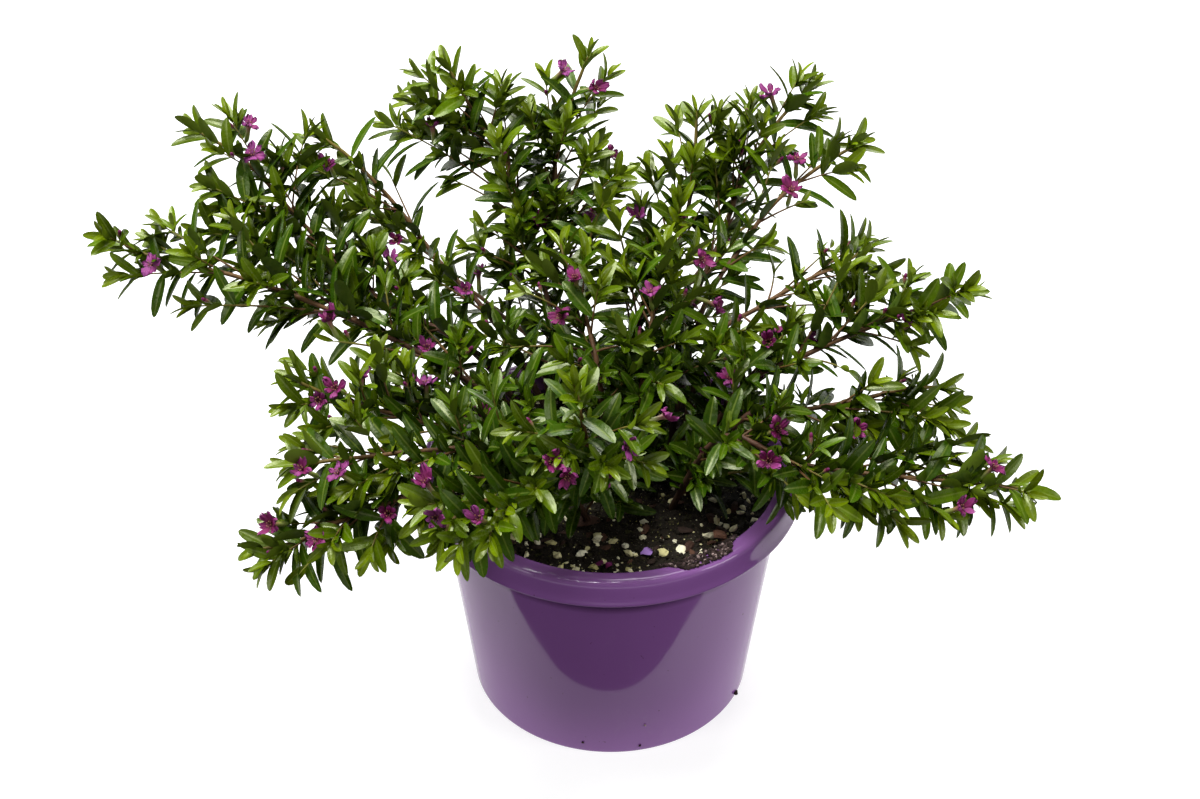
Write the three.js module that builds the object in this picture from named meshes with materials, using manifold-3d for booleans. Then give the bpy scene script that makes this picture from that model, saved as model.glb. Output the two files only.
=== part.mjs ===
// A potted Mexican heather: a bushy small-leaved shrub with six-petalled blooms, in a 140 mm nursery pot.
// Units are millimetres, +Z is up, and the origin is the middle of the pot's foot.

import * as THREE from "three";
import { mergeVertices } from "three/addons/utils/BufferGeometryUtils.js";
import Module from "manifold-3d";

const wasm = await Module();
wasm.setup();

// Pot
const rimRadius = 71;
const rimTop = 100;
const rimDepth = 10;
const bodyTopRadius = 63.6;
const footRadius = 53;
const potWall = 1.6;
const footHollow = 2.4;
const footDiscRadius = 17;
const floorTop = 4.4;
const potSides = 36;
const drainCount = 6;
const drainRadius = 4.5;
const drainCircle = 36;

// Clearance between the pot, the mix, the stems and the blooms
const fit = 0.35;
const holeFit = 0.6;

// Potting mix
const soilEdge = 89.5;
const soilSlope = 1.6;
const soilCrown = 91.6;
const soilLump = 1.1;
const soilSides = 18;
const grainCount = 12;
const grainRadius = 1.7;
const grainSpread = 1.1;
const grainsFrom = 24;
const grainsTo = 57;
const grainClear = 6;

// Stems and twigs
const stemFoot = 74;
const stemRadius = 2.1;
const stemTipRadius = 1;
const stemSides = 4;
const stemSteps = 6;
const twigShare = 0.55;
const twigTipShare = 0.75;
const twigSides = 3;

// Leaves: the youngest pair is at the tip, and they are grown from the fifth pair down
const leafLength = 18;
const youngLeafLength = 10;
const leafSlimness = 0.27;
const leafKeel = 1.05;
const leafRoot = 0.25;
const leafSeat = 0.25;
const rootVolume = 0.35;
const grownPair = 4;
const firstPair = 1.5;
const youngPairGap = 2.4;
const grownPairGap = 5.6;
const pairStagger = 1.4;
const youngSpread = 24;
const grownSpread = 56;
const bareTwig = 6;
const bareStemShare = 0.5;

// Blooms
const calyxLength = 8;
const calyxRadius = 0.95;
const bloomRadius = 5.6;
const bloomSpread = 0.57;
const petalCount = 6;
const throatRise = 0.45;
const throatDepth = 1;
const bloomLean = new THREE.Vector3(0, -0.25, 0.5);
const petalOutline = [
  { reach: 0.34, swing: -0.5, lift: 0.1 },
  { reach: 0.98, swing: -0.26, lift: 0.9 },
  { reach: 0.98, swing: 0.26, lift: 0.2 },
];
const ownBlooms = 2;

const UP = new THREE.Vector3(0, 0, 1);

// Where the stems grow, by the side of the plant that they fill. A path is the stem's bends, a twig leaves
// the stem at a share of its length and ends at a point, and a bloom sits on a shoot (0 is the stem itself,
// 1 its first twig) at a share of its length, turned by an angle round it.
const stems = [
  {
    name: "left_low",
    foot: [-16, 4],
    path: [
      [-45, 8, 122], [-82, 13, 147], [-123, 18, 165], [-155, 22, 173], [-179, 24, 178],
    ],
    twigs: [
      [0.59, -151, 10, 162], [0.57, -134, 40, 172], [0.74, -164, 34, 182], [0.80, -176, 14, 172],
      [0.40, -101, 0, 154],
    ],
    blooms: [
      [4, 0.55, 120], [5, 0.90, 60], [0, 0.40, 120],
    ],
  },
  {
    name: "left_high",
    foot: [-14, 12],
    path: [
      [-49, 28, 126], [-86, 40, 144], [-114, 54, 168], [-135, 66, 188], [-155, 72, 199],
    ],
    twigs: [
      [0.81, -142, 76, 203], [0.63, -151, 40, 174], [0.68, -124, 76, 187], [0.48, -93, 60, 155],
      [0.85, -145, 60, 197], [0.48, -117, 36, 167],
    ],
    blooms: [
      [1, 0.30, 120], [1, 0.60, 80], [4, 0.45, 60],
    ],
  },
  {
    name: "up_left",
    foot: [-8, 16],
    path: [
      [-42, 44, 127], [-65, 62, 146], [-82, 76, 163], [-98, 84, 178], [-111, 88, 187],
    ],
    twigs: [
      [0.74, -115, 76, 180], [0.69, -85, 92, 167], [0.60, -98, 70, 166], [0.44, -70, 52, 147],
    ],
    blooms: [
      [1, 0.70, 120], [3, 0.35, 160], [4, 0.30, 120],
    ],
  },
  {
    name: "top_left",
    foot: [-5, 22],
    path: [
      [-24, 62, 128], [-34, 82, 154], [-40, 94, 171], [-51, 102, 185], [-63, 110, 205],
    ],
    twigs: [
      [0.69, -73, 104, 195], [0.63, -86, 96, 187], [0.71, -42, 112, 196], [0.60, -63, 84, 170],
      [0.49, -50, 72, 156],
    ],
    blooms: [
      [2, 0.65, 80], [0, 0.55, 60],
    ],
  },
  {
    name: "top",
    foot: [3, 20],
    path: [
      [-15, 66, 130], [-21, 86, 151], [-21, 98, 173], [-15, 108, 190], [-8, 114, 207],
    ],
    twigs: [
      [0.71, -25, 112, 198], [0.76, 0, 116, 197], [0.63, -31, 102, 188], [0.56, -5, 104, 174],
      [0.50, 3, 92, 161],
    ],
    blooms: [
      [1, 0.90, 20], [0, 0.90, 340], [5, 0.40, 60], [4, 0.80, 340],
    ],
  },
  {
    name: "top_right",
    foot: [9, 18],
    path: [
      [11, 48, 130], [23, 66, 143], [29, 78, 157], [32, 92, 170], [33, 104, 188],
    ],
    twigs: [
      [0.75, 42, 104, 188], [0.76, 25, 102, 185], [0.60, 14, 88, 172], [0.51, 11, 78, 163],
    ],
    blooms: [
      [4, 0.65, 120],
    ],
  },
  {
    name: "up_right",
    foot: [15, 16],
    path: [
      [29, 46, 130], [43, 72, 153], [52, 88, 171], [64, 100, 185], [78, 110, 196],
    ],
    twigs: [
      [0.72, 54, 108, 190], [0.83, 73, 114, 198], [0.76, 80, 102, 188], [0.53, 40, 84, 169],
    ],
    blooms: [
      [2, 0.35, 120],
    ],
  },
  {
    name: "right_high",
    foot: [18, 10],
    path: [
      [33, 36, 138], [48, 56, 155], [61, 68, 168], [78, 78, 178], [95, 84, 186],
    ],
    twigs: [
      [0.76, 86, 88, 184], [0.69, 75, 64, 173], [0.82, 90, 74, 180], [0.56, 59, 50, 164],
    ],
    blooms: [
      [1, 0.30, 100], [2, 0.55, 80],
    ],
  },
  {
    name: "right_mid",
    foot: [21, 4],
    path: [
      [35, 18, 136], [56, 32, 147], [73, 40, 153], [87, 46, 157], [97, 52, 160],
    ],
    twigs: [
      [0.71, 83, 54, 159], [0.68, 61, 50, 150], [0.60, 58, 14, 142],
    ],
    blooms: [
      [3, 0.85, 60],
    ],
  },
  {
    name: "right",
    foot: [23, -1],
    path: [
      [45, 4, 127], [69, 8, 141], [90, 14, 148], [112, 20, 154], [132, 24, 159],
    ],
    twigs: [
      [0.76, 111, 34, 159], [0.71, 110, 2, 149], [0.56, 83, -6, 146], [0.49, 66, 22, 143],
    ],
    blooms: [
      [4, 0.35, 120], [0, 0.38, 80], [4, 0.60, 0], [2, 0.55, 120],
    ],
  },
  {
    name: "right_low",
    foot: [22, -7],
    path: [
      [47, -12, 128], [71, -10, 131], [90, -8, 134], [108, -4, 136], [123, 0, 133],
    ],
    twigs: [
      [0.80, 106, 4, 136], [0.75, 124, -10, 131], [0.64, 105, -16, 126], [0.55, 85, -20, 127],
    ],
    blooms: [
      [4, 0.85, 60],
    ],
  },
  {
    name: "right_front",
    foot: [17, -13],
    path: [
      [38, -26, 130], [63, -38, 129], [87, -44, 129], [114, -48, 129], [144, -50, 127],
    ],
    twigs: [
      [0.80, 136, -38, 129], [0.83, 140, -60, 125], [0.69, 116, -62, 123], [0.63, 128, -28, 131],
      [0.58, 101, -64, 121], [0.39, 65, -56, 127], [0.39, 80, -24, 126],
    ],
    blooms: [
      [0, 0.90, 100], [3, 0.90, 100], [7, 0.25, 60], [6, 0.45, 60],
    ],
  },
  {
    name: "left_mid",
    foot: [-18, -5],
    path: [
      [-40, -16, 122], [-65, -20, 132], [-84, -24, 142], [-100, -26, 150], [-112, -26, 157],
    ],
    twigs: [
      [0.80, -110, -20, 159], [0.82, -113, -36, 152], [0.54, -82, 0, 139], [0.75, -103, -20, 152],
    ],
    blooms: [
      [2, 0.45, 140], [1, 0.25, 140], [3, 0.35, 60], [0, 0.45, 100], [4, 0.25, 60],
    ],
  },
  {
    name: "left_front",
    foot: [-16, -11],
    path: [
      [-39, -34, 129], [-63, -44, 139], [-82, -52, 143], [-98, -56, 144], [-111, -58, 143],
    ],
    twigs: [
      [0.80, -110, -66, 137], [0.77, -104, -48, 146], [0.64, -89, -68, 141],
    ],
    blooms: [
      [1, 0.60, 90], [3, 0.90, 60],
    ],
  },
  {
    name: "front_left",
    foot: [-11, -15],
    path: [
      [-40, -44, 125], [-64, -58, 132], [-90, -68, 129], [-108, -74, 123], [-123, -76, 121],
    ],
    twigs: [
      [0.82, -119, -82, 118], [0.73, -106, -86, 119], [0.67, -82, -84, 125], [0.80, -114, -68, 126],
      [0.49, -65, -76, 135],
    ],
    blooms: [
      [3, 0.20, 120], [2, 0.50, 100], [4, 0.80, 140],
    ],
  },
  {
    name: "front",
    foot: [-4, -17],
    path: [
      [-18, -40, 121], [-34, -58, 132], [-46, -72, 138], [-54, -82, 139], [-58, -88, 132],
    ],
    twigs: [
      [0.77, -52, -94, 135], [0.70, -41, -92, 137], [0.77, -66, -76, 141],
    ],
    blooms: [
      [2, 0.65, 60], [3, 0.60, 180], [3, 0.65, 60],
    ],
  },
  {
    name: "centre_front",
    foot: [2, -10],
    path: [
      [-4, -28, 117], [-8, -42, 140], [-10, -46, 152], [-11, -48, 162], [-13, -48, 171],
    ],
    twigs: [
      [0.69, -33, -52, 154], [0.72, 11, -54, 159], [0.65, -1, -66, 148], [0.69, -18, -62, 151],
      [0.51, -25, -58, 146],
    ],
    blooms: [
      [2, 0.95, 200], [2, 0.60, 320], [3, 0.20, 260], [5, 0.95, 160], [4, 0.95, 220],
    ],
  },
  {
    name: "centre",
    foot: [0, 3],
    path: [
      [-4, 8, 128], [-8, 22, 143], [-13, 34, 153], [-17, 42, 160], [-19, 48, 165],
    ],
    twigs: [
      [0.69, -33, 30, 155], [0.60, -41, 14, 140], [0.73, 0, 30, 155],
    ],
    blooms: [
      [1, 0.20, 160], [0, 0.80, 100], [2, 0.90, 240],
    ],
  },
  {
    name: "centre_right",
    foot: [10, 5],
    path: [
      [11, 6, 130], [14, 16, 143], [16, 28, 152], [19, 38, 161], [21, 44, 168],
    ],
    twigs: [
      [0.68, 33, 30, 155], [0.60, 30, 12, 146], [0.82, 33, 44, 164],
    ],
    blooms: [
      [0, 0.75, 100], [3, 0.60, 20], [1, 0.85, 320],
    ],
  },
  {
    name: "back",
    foot: [6, 27],
    path: [
      [16, 54, 114], [30, 80, 122], [44, 98, 129], [56, 112, 131],
    ],
    twigs: [
      [0.52, 14, 94, 128], [0.66, 62, 92, 134],
    ],
    blooms: [
      [0, 0.80, 60], [1, 0.80, 120],
    ],
  },
  {
    name: "back_left",
    foot: [-18, 26],
    path: [
      [-28, 50, 112], [-42, 66, 118], [-55, 78, 122], [-68, 86, 122],
    ],
    twigs: [
      [0.50, -38, 90, 118],
    ],
    blooms: [
      [0, 0.80, 60],
    ],
  },
];

// Seeded draws between 0 and 1, so that the plant is the same each time
let drawState = 2026;
function draw() {
  drawState = (drawState * 1664525 + 1013904223) % 4294967296;
  return drawState / 4294967296;
}

// A closed geometry as a solid that can be joined and cut
function solidOf(geometry) {
  const shape = geometry.clone();
  shape.deleteAttribute("normal");
  shape.deleteAttribute("uv");
  const merged = mergeVertices(shape, 1e-4);
  const mesh = new wasm.Mesh({
    numProp: 3,
    vertProperties: new Float32Array(merged.attributes.position.array),
    triVerts: new Uint32Array(merged.index.array),
  });
  return new wasm.Manifold(mesh);
}

// The vertices of a closed geometry, once each, passed through a rule that moves each of them
function reshaped(geometry, rule) {
  geometry.deleteAttribute("normal");
  geometry.deleteAttribute("uv");
  const merged = mergeVertices(geometry, 1e-4);
  const position = merged.attributes.position;
  const point = new THREE.Vector3();
  for (let i = 0; i < position.count; i += 1) {
    rule(point.fromBufferAttribute(position, i));
    position.setXYZ(i, point.x, point.y, point.z);
  }
  return merged;
}

// The largest body of a solid: a sealed hollow or a loose scrap is left behind
function largestBody(solid) {
  return solid.decompose().reduce((best, body) => (body.volume() > best.volume() ? body : best));
}

function meshOf(name, solid, color, roughness) {
  const { numProp, vertProperties, triVerts } = solid.getMesh();
  const geometry = new THREE.BufferGeometry();
  const position = new Float32Array((vertProperties.length / numProp) * 3);
  for (let i = 0; i < position.length / 3; i += 1) {
    position.set(vertProperties.subarray(i * numProp, i * numProp + 3), i * 3);
  }
  geometry.setAttribute("position", new THREE.BufferAttribute(position, 3));
  geometry.setIndex(new THREE.BufferAttribute(new Uint32Array(triVerts), 1));
  geometry.computeVertexNormals();
  const mesh = new THREE.Mesh(
    geometry,
    new THREE.MeshStandardMaterial({ color, roughness, metalness: 0 }),
  );
  mesh.name = name;
  return mesh;
}

// A round shape turned about the pot's axis from a closed outline of radius and height
function turned(outline, sides) {
  const points = outline.map(([radius, height]) => new THREE.Vector2(radius, height));
  const geometry = new THREE.LatheGeometry(points, sides);
  geometry.rotateX(Math.PI / 2);
  return geometry;
}

// An upright prism at x, y from one height to another
function uprightPrism(x, y, bottom, top, radius, sides) {
  const geometry = new THREE.CylinderGeometry(radius, radius, top - bottom, sides);
  geometry.rotateX(Math.PI / 2);
  geometry.translate(x, y, (bottom + top) / 2);
  return solidOf(geometry);
}

// The pot's outer radius at a height: a straight taper that steepens a little towards the rim
function bodyRadius(height) {
  const share = height / rimTop;
  return footRadius + (bodyTopRadius - footRadius) * (1.18 * share - 0.18 * share * share);
}

// The pot's inner radius at a height, straight between the bends of its wall
const wallBends = [floorTop, 50, rimTop - 2];
function innerRadius(height) {
  const upper = height > wallBends[1] ? 2 : 1;
  const [low, high] = [wallBends[upper - 1], wallBends[upper]];
  const share = (height - low) / (high - low);
  return bodyRadius(low) + (bodyRadius(high) - bodyRadius(low)) * share - potWall;
}

function buildPot() {
  const rimBottom = rimTop - rimDepth;
  const outline = [
    [0, 0],
    [footDiscRadius, 0],
    [footDiscRadius + 1.5, footHollow],
    [footRadius - 6, footHollow],
    [footRadius - 4.5, 0],
    [footRadius, 0],
    [bodyRadius(50), 50],
    [bodyRadius(rimTop - 2.4), rimTop - 2.4],
    [rimRadius - 2.4, rimTop - 2.6],
    [rimRadius - 1.6, rimBottom],
    [rimRadius - 0.3, rimBottom],
    [rimRadius, rimBottom + 0.8],
    [rimRadius - 0.9, rimTop - 1.4],
    [rimRadius - 2.2, rimTop],
    [bodyRadius(rimTop) + 0.4, rimTop - 0.2],
    ...wallBends.map((z) => [innerRadius(z), z]).reverse(),
    [0, floorTop],
  ];
  let pot = solidOf(turned(outline, potSides));
  for (let i = 0; i < drainCount; i += 1) {
    const angle = ((i + 0.5) / drainCount) * 2 * Math.PI;
    const x = drainCircle * Math.cos(angle);
    const y = drainCircle * Math.sin(angle);
    pot = pot.subtract(uprightPrism(x, y, -1, floorTop + 1, drainRadius, 6));
  }
  return pot;
}

// The top of the mix: lumps that die out before the wall
function lump(x, y) {
  return soilLump * Math.sin(x * 0.31 + 1.2) * Math.cos(y * 0.27 - 0.6) - 0.6;
}

// One of the larger pale grains, half sunk in the top of the mix. Each lies a golden angle on from the last.
function grainSolid(index) {
  const angle = index * 2.399963;
  const radius = grainsFrom + (grainsTo - grainsFrom) * Math.sqrt((index + 0.5) / grainCount);
  const centre = new THREE.Vector3(radius * Math.cos(angle), radius * Math.sin(angle), soilEdge + 0.4);
  const geometry = new THREE.OctahedronGeometry(grainRadius + draw() * grainSpread);
  geometry.scale(1, 0.8, 0.75);
  geometry.rotateZ(draw() * Math.PI);
  geometry.translate(...centre);
  const isClear = stems.every(({ foot }) => {
    return Math.hypot(foot[0] - centre.x, foot[1] - centre.y) > grainClear;
  });
  return isClear ? solidOf(geometry) : null;
}

// The mix fills the pot to just under the rim, with a plain hole for each stem
function buildSoil() {
  const wallFoot = floorTop + fit;
  const edgeHeight = soilEdge - soilSlope;
  const edgeRadius = innerRadius(edgeHeight) - fit;
  const outline = [
    [0, wallFoot],
    [innerRadius(wallFoot) - fit, wallFoot],
    [innerRadius(wallBends[1]) - fit, wallBends[1]],
    [edgeRadius, edgeHeight],
    [50, soilEdge],
    [30, soilCrown - 0.8],
    [0, soilCrown],
  ];
  const lumpy = reshaped(turned(outline, soilSides), (p) => {
    if (p.z > soilEdge - 1 && Math.hypot(p.x, p.y) < edgeRadius - 1) p.z += lump(p.x, p.y);
  });
  let soil = solidOf(lumpy);
  for (let i = 0; i < grainCount; i += 1) {
    const grain = grainSolid(i);
    if (grain) soil = soil.add(grain);
  }
  for (const stem of stems) {
    const curve = stemCurve(stem, stemFoot - fit);
    const [start, end] = [stemRadius + holeFit, stemTipRadius + holeFit];
    soil = soil.subtract(taperedTube(curve, stemSteps, stemSides, start, end));
  }
  return largestBody(soil);
}

// A tapered tube along a curve: an extruded polygon whose rings are drawn in towards the curve
function taperedTube(curve, steps, sides, startRadius, endRadius) {
  const corners = Array.from({ length: sides }, (_, i) => {
    return new THREE.Vector2(startRadius, 0).rotateAround(new THREE.Vector2(), (i / sides) * 2 * Math.PI);
  });
  const geometry = new THREE.ExtrudeGeometry(new THREE.Shape(corners), {
    steps,
    extrudePath: curve,
    bevelEnabled: false,
  });
  const centres = curve.getSpacedPoints(steps);
  return solidOf(
    reshaped(geometry, (p) => {
      let ring = 0;
      for (let i = 1; i <= steps; i += 1) {
        if (p.distanceTo(centres[i]) < p.distanceTo(centres[ring])) ring = i;
      }
      const share = 1 + (endRadius / startRadius - 1) * (ring / steps);
      p.sub(centres[ring]).multiplyScalar(share).add(centres[ring]);
    }),
  );
}

// The stem's own curve, from its foot in the mix through its bends
function stemCurve({ foot, path }, footHeight) {
  const points = [[foot[0], foot[1], footHeight], ...path];
  return new THREE.CatmullRomCurve3(
    points.map((p) => new THREE.Vector3(...p)),
    false,
    "catmullrom",
    0.5,
  );
}

// The same stem as the straight runs that its solid has, which its twigs, leaves and blooms sit on
function stemRuns(curve) {
  const bends = curve.getSpacedPoints(stemSteps);
  const runs = new THREE.CurvePath();
  bends.slice(1).forEach((bend, i) => runs.add(new THREE.LineCurve3(bends[i], bend)));
  return runs;
}

// A twig runs straight from the stem, at a share of the stem's length, to its own tip
function twigCurve(stem, [share, x, y, z]) {
  return new THREE.LineCurve3(stem.getPointAt(share), new THREE.Vector3(x, y, z));
}

// Two directions across a shoot: one level, one on its upper side
function acrossShoot(along) {
  const side = new THREE.Vector3().crossVectors(along, UP);
  if (side.length() < 0.2) side.set(1, 0, 0);
  side.addScaledVector(along, -side.dot(along)).normalize();
  const upper = new THREE.Vector3().crossVectors(side, along);
  return [side, upper];
}

// The direction out of a shoot at a turn round it, in degrees from its level side
function outOf(along, turn) {
  const [side, upper] = acrossShoot(along);
  const angle = THREE.MathUtils.degToRad(turn);
  return side.multiplyScalar(Math.cos(angle)).addScaledVector(upper, Math.sin(angle));
}

// A leaf: a lance-shaped blade with a flat upper face and a keel under its midrib, arched along its length
function leafSolid({ root, along, out, spread, roll, length }) {
  const run = along.clone().multiplyScalar(Math.cos(spread)).addScaledVector(out, Math.sin(spread));
  const face = along.clone().multiplyScalar(Math.sin(spread)).addScaledVector(out, -Math.cos(spread));
  face.addScaledVector(UP, 0.9);
  face.addScaledVector(run, -face.dot(run)).normalize();
  face.applyAxisAngle(run, roll);
  const across = new THREE.Vector3().crossVectors(face, run);
  const halfWidth = (length * leafSlimness) / 2;
  const blade = reshaped(new THREE.SphereGeometry(1, 3, 3), (p) => {
    const share = (1 + p.y) / 2;
    const side = (p.z / 0.75) * halfWidth * (1.06 - 0.22 * share);
    const lift = length * (0.12 * share - 0.2 * share * share) + (p.x < -0.5 ? -leafKeel : 0);
    p.copy(root).addScaledVector(run, length * share - leafRoot);
    p.addScaledVector(across, side).addScaledVector(face, lift);
  });
  return solidOf(blade);
}

// The leaf sites of a shoot: opposite pairs, each pair turned a quarter from the last, close and small at
// the tip and wider apart and larger down the shoot.
function leafSites(curve, bareLength) {
  const total = curve.getLength();
  const phase = 20 + 50 * draw();
  const sites = [];
  let fromTip = firstPair;
  for (let pair = 0; fromTip < total - bareLength; pair += 1) {
    const share = 1 - fromTip / total;
    const along = curve.getTangentAt(share);
    const grown = Math.min(1, pair / grownPair);
    for (const side of [0, 180]) {
      const length = THREE.MathUtils.lerp(youngLeafLength, leafLength, grown) * (0.85 + 0.3 * draw());
      const degrees = THREE.MathUtils.lerp(youngSpread, grownSpread, grown) + 16 * (draw() - 0.5);
      const spread = THREE.MathUtils.degToRad(degrees);
      const roll = 0.7 * (draw() - 0.5);
      const out = outOf(along, phase + 90 * pair + side);
      const root = curve.getPointAt(share - (side ? pairStagger / total : 0));
      root.addScaledVector(out, leafSeat);
      sites.push({ pair, root, along, out, spread, roll, length });
    }
    fromTip += THREE.MathUtils.lerp(youngPairGap, grownPairGap, grown);
  }
  return sites;
}

// Where a bloom sits: its calyx runs out of the shoot and the open petals face up and to the light
function bloomSeat(shoots, radiusAt, [shoot, share, turn]) {
  const curve = shoots[shoot];
  const from = curve.getPointAt(share);
  const along = curve.getTangentAt(share);
  const run = outOf(along, turn).multiplyScalar(0.82).addScaledVector(along, bloomSpread).normalize();
  const facing = run.clone().add(bloomLean).normalize();
  return { from, run, facing, woodRadius: radiusAt(shoot, share) };
}

// An open bloom: six crinkled petals round a shallow throat, on a tapered calyx. Each petal has a notch
// beside it and two shoulders, one lifted and one lowered; the back has the same split as the front.
function bloomSolid({ from, run, facing, woodRadius }, seat) {
  const across = new THREE.Vector3().crossVectors(facing, new THREE.Vector3(0.3, 1, 0.2)).normalize();
  const upper = new THREE.Vector3().crossVectors(facing, across);
  const radius = bloomRadius * (0.9 + 0.2 * draw());
  const turn = draw() * Math.PI;
  const centre = from.clone().addScaledVector(run, calyxLength + throatDepth);
  const place = (reach, angle, height) =>
    centre
      .clone()
      .addScaledVector(across, reach * Math.cos(angle))
      .addScaledVector(upper, reach * Math.sin(angle))
      .addScaledVector(facing, height);
  const foot = from.clone().addScaledVector(run, seat === 0 ? 0 : woodRadius + seat);
  const points = [place(0, 0, throatRise), foot];
  for (let petal = 0; petal < petalCount; petal += 1) {
    const middle = turn + (petal / petalCount) * 2 * Math.PI;
    for (const { reach, swing, lift } of petalOutline) {
      points.push(place(reach * radius, middle + (swing * 2 * Math.PI) / petalCount, lift));
    }
    points.push(place(calyxRadius, middle, -throatDepth));
  }
  const corner = (petal, i) => 2 + 4 * (petal % petalCount) + i;
  const faces = [];
  for (let petal = 0; petal < petalCount; petal += 1) {
    const [notch, rising, falling, neck] = [0, 1, 2, 3].map((i) => corner(petal, i));
    const nextNotch = corner(petal + 1, 0);
    faces.push(0, notch, rising, 0, rising, falling, 0, falling, nextNotch);
    faces.push(neck, rising, notch, neck, falling, rising, neck, nextNotch, falling);
    faces.push(neck, corner(petal + 1, 3), nextNotch, neck, 1, corner(petal + 1, 3));
  }
  const geometry = new THREE.BufferGeometry().setFromPoints(points);
  geometry.setIndex(faces);
  return solidOf(geometry);
}

// The leaf pairs that the solid keeps: one near each tip, every fifth down a stem, and a second one on
// every fourth twig.
function isKept(pair, shoot) {
  if (shoot === 0) return pair % 5 === 1;
  return pair === 1 || (pair === 4 && shoot % 4 === 1);
}

// Whether a solid cuts into any of the others
function meets(solid, others) {
  const box = solid.boundingBox();
  return others.some((other) => {
    const near = other.boundingBox();
    const apart = [0, 1, 2].some((i) => box.min[i] > near.max[i] || box.max[i] < near.min[i]);
    return !apart && solid.intersect(other).volume() > 0;
  });
}

// A stem's wood: the stem itself and its twigs
function woodOf(stem) {
  const curve = stemCurve(stem, stemFoot);
  const runs = stemRuns(curve);
  const shoots = [runs, ...stem.twigs.map((twig) => twigCurve(runs, twig))];
  const stemThere = (share) => stemRadius + (stemTipRadius - stemRadius) * share;
  const radiusAt = (shoot, share) =>
    shoot === 0
      ? stemThere(share)
      : twigShare * stemThere(stem.twigs[shoot - 1][0]) * (1 + (twigTipShare - 1) * share);
  let wood = taperedTube(curve, stemSteps, stemSides, stemRadius, stemTipRadius);
  shoots.slice(1).forEach((twig, k) => {
    wood = wood.add(taperedTube(twig, 1, twigSides, radiusAt(k + 1, 0), radiusAt(k + 1, 1)));
  });
  const seats = stem.blooms.map((bloom) => bloomSeat(shoots, radiusAt, bloom));
  return { shoots, seats, wood: largestBody(wood) };
}

// The stem with its leaves. A leaf that would cross another piece is rolled and swung clear of it, or
// left out where neither way is clear.
function leafyStem({ shoots, wood }, others) {
  const isClear = (leaf, plant) => !meets(leaf, others) && leaf.intersect(plant).volume() < rootVolume;
  let plant = wood;
  shoots.forEach((curve, shoot) => {
    const bareLength = shoot === 0 ? bareStemShare * curve.getLength() : bareTwig;
    for (const site of leafSites(curve, bareLength).filter(({ pair }) => isKept(pair, shoot))) {
      const bent = (bend) => leafSolid({ ...site, spread: site.spread + bend, roll: site.roll + bend });
      const leaf = [0, 0.45, -0.45].map(bent).find((way) => isClear(way, plant));
      if (leaf) plant = plant.add(leaf);
    }
  });
  return largestBody(plant);
}

const pot = buildPot();
const soil = buildSoil();
const grown = stems.map(woodOf);
const blooms = grown.map(({ seats }) => {
  return seats.map((seat, k) => bloomSolid(seat, k < ownBlooms ? fit : 0));
});
// Past the first blooms of a stem, the rest are fused to it on their calyces
grown.forEach((plant, i) => {
  for (const bloom of blooms[i].splice(ownBlooms)) plant.wood = plant.wood.add(bloom);
});

const heather = new THREE.Group();
heather.name = "potted_mexican_heather";
heather.add(meshOf("pot", pot, 0x6b3f80, 0.3));
heather.add(meshOf("soil", soil, 0x1d1713, 0.95));

const settled = [pot, soil, ...blooms.flat()];
stems.forEach((stem, i) => {
  const others = [...settled, ...grown.slice(i + 1).map(({ wood }) => wood)];
  const plant = leafyStem(grown[i], others);
  settled.push(plant);
  heather.add(meshOf("stem_" + stem.name, plant, 0x3f6b1c, 0.5));
  blooms[i].forEach((bloom, k) => {
    heather.add(meshOf("bloom_" + stem.name + "_" + (k + 1), bloom, 0xa53296, 0.6));
  });
});

export default heather;
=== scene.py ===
# A potted Mexican heather in a glossy purple nursery pot, dressed over its solid model. Lengths are metres
# where nothing else is said.

import math

import bpy
import numpy as np
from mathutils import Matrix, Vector


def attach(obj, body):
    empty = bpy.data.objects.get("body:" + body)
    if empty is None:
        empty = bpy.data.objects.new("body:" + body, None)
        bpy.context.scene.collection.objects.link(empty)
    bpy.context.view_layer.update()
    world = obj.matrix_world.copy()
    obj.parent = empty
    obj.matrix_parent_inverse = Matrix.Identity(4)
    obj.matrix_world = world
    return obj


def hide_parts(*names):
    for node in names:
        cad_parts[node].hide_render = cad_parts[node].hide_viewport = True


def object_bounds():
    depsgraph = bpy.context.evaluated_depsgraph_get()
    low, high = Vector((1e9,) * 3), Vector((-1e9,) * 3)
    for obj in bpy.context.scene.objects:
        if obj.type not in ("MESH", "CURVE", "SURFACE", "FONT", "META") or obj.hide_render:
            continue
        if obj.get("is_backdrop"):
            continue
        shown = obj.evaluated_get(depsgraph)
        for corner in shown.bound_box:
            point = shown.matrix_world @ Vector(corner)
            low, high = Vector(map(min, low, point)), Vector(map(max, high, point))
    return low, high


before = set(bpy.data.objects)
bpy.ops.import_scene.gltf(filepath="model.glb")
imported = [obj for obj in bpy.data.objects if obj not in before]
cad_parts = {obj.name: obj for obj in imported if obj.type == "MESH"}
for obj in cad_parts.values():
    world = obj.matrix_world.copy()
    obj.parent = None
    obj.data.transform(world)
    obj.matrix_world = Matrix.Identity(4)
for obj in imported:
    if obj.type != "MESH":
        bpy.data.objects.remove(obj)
solid_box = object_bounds()
scene = bpy.context.scene

# Camera: above and in front of the pot, looking down along +Y at the photograph's angle.
camera_tilt = math.radians(37.4)
camera_distance = 0.9
camera_target = Vector((-0.0041, 0.0, 0.1277))
camera_data = bpy.data.cameras.new("camera")
camera_data.sensor_width = 36.0
camera_data.lens = 74.2
camera = bpy.data.objects.new("camera", camera_data)
towards_camera = Vector((0.0, -math.cos(camera_tilt), math.sin(camera_tilt)))
camera.location = camera_target + camera_distance * towards_camera
camera.rotation_euler = towards_camera.to_track_quat("Z", "Y").to_euler()
scene.collection.objects.link(camera)
scene.camera = camera
scene.view_settings.view_transform = "Standard"


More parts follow.
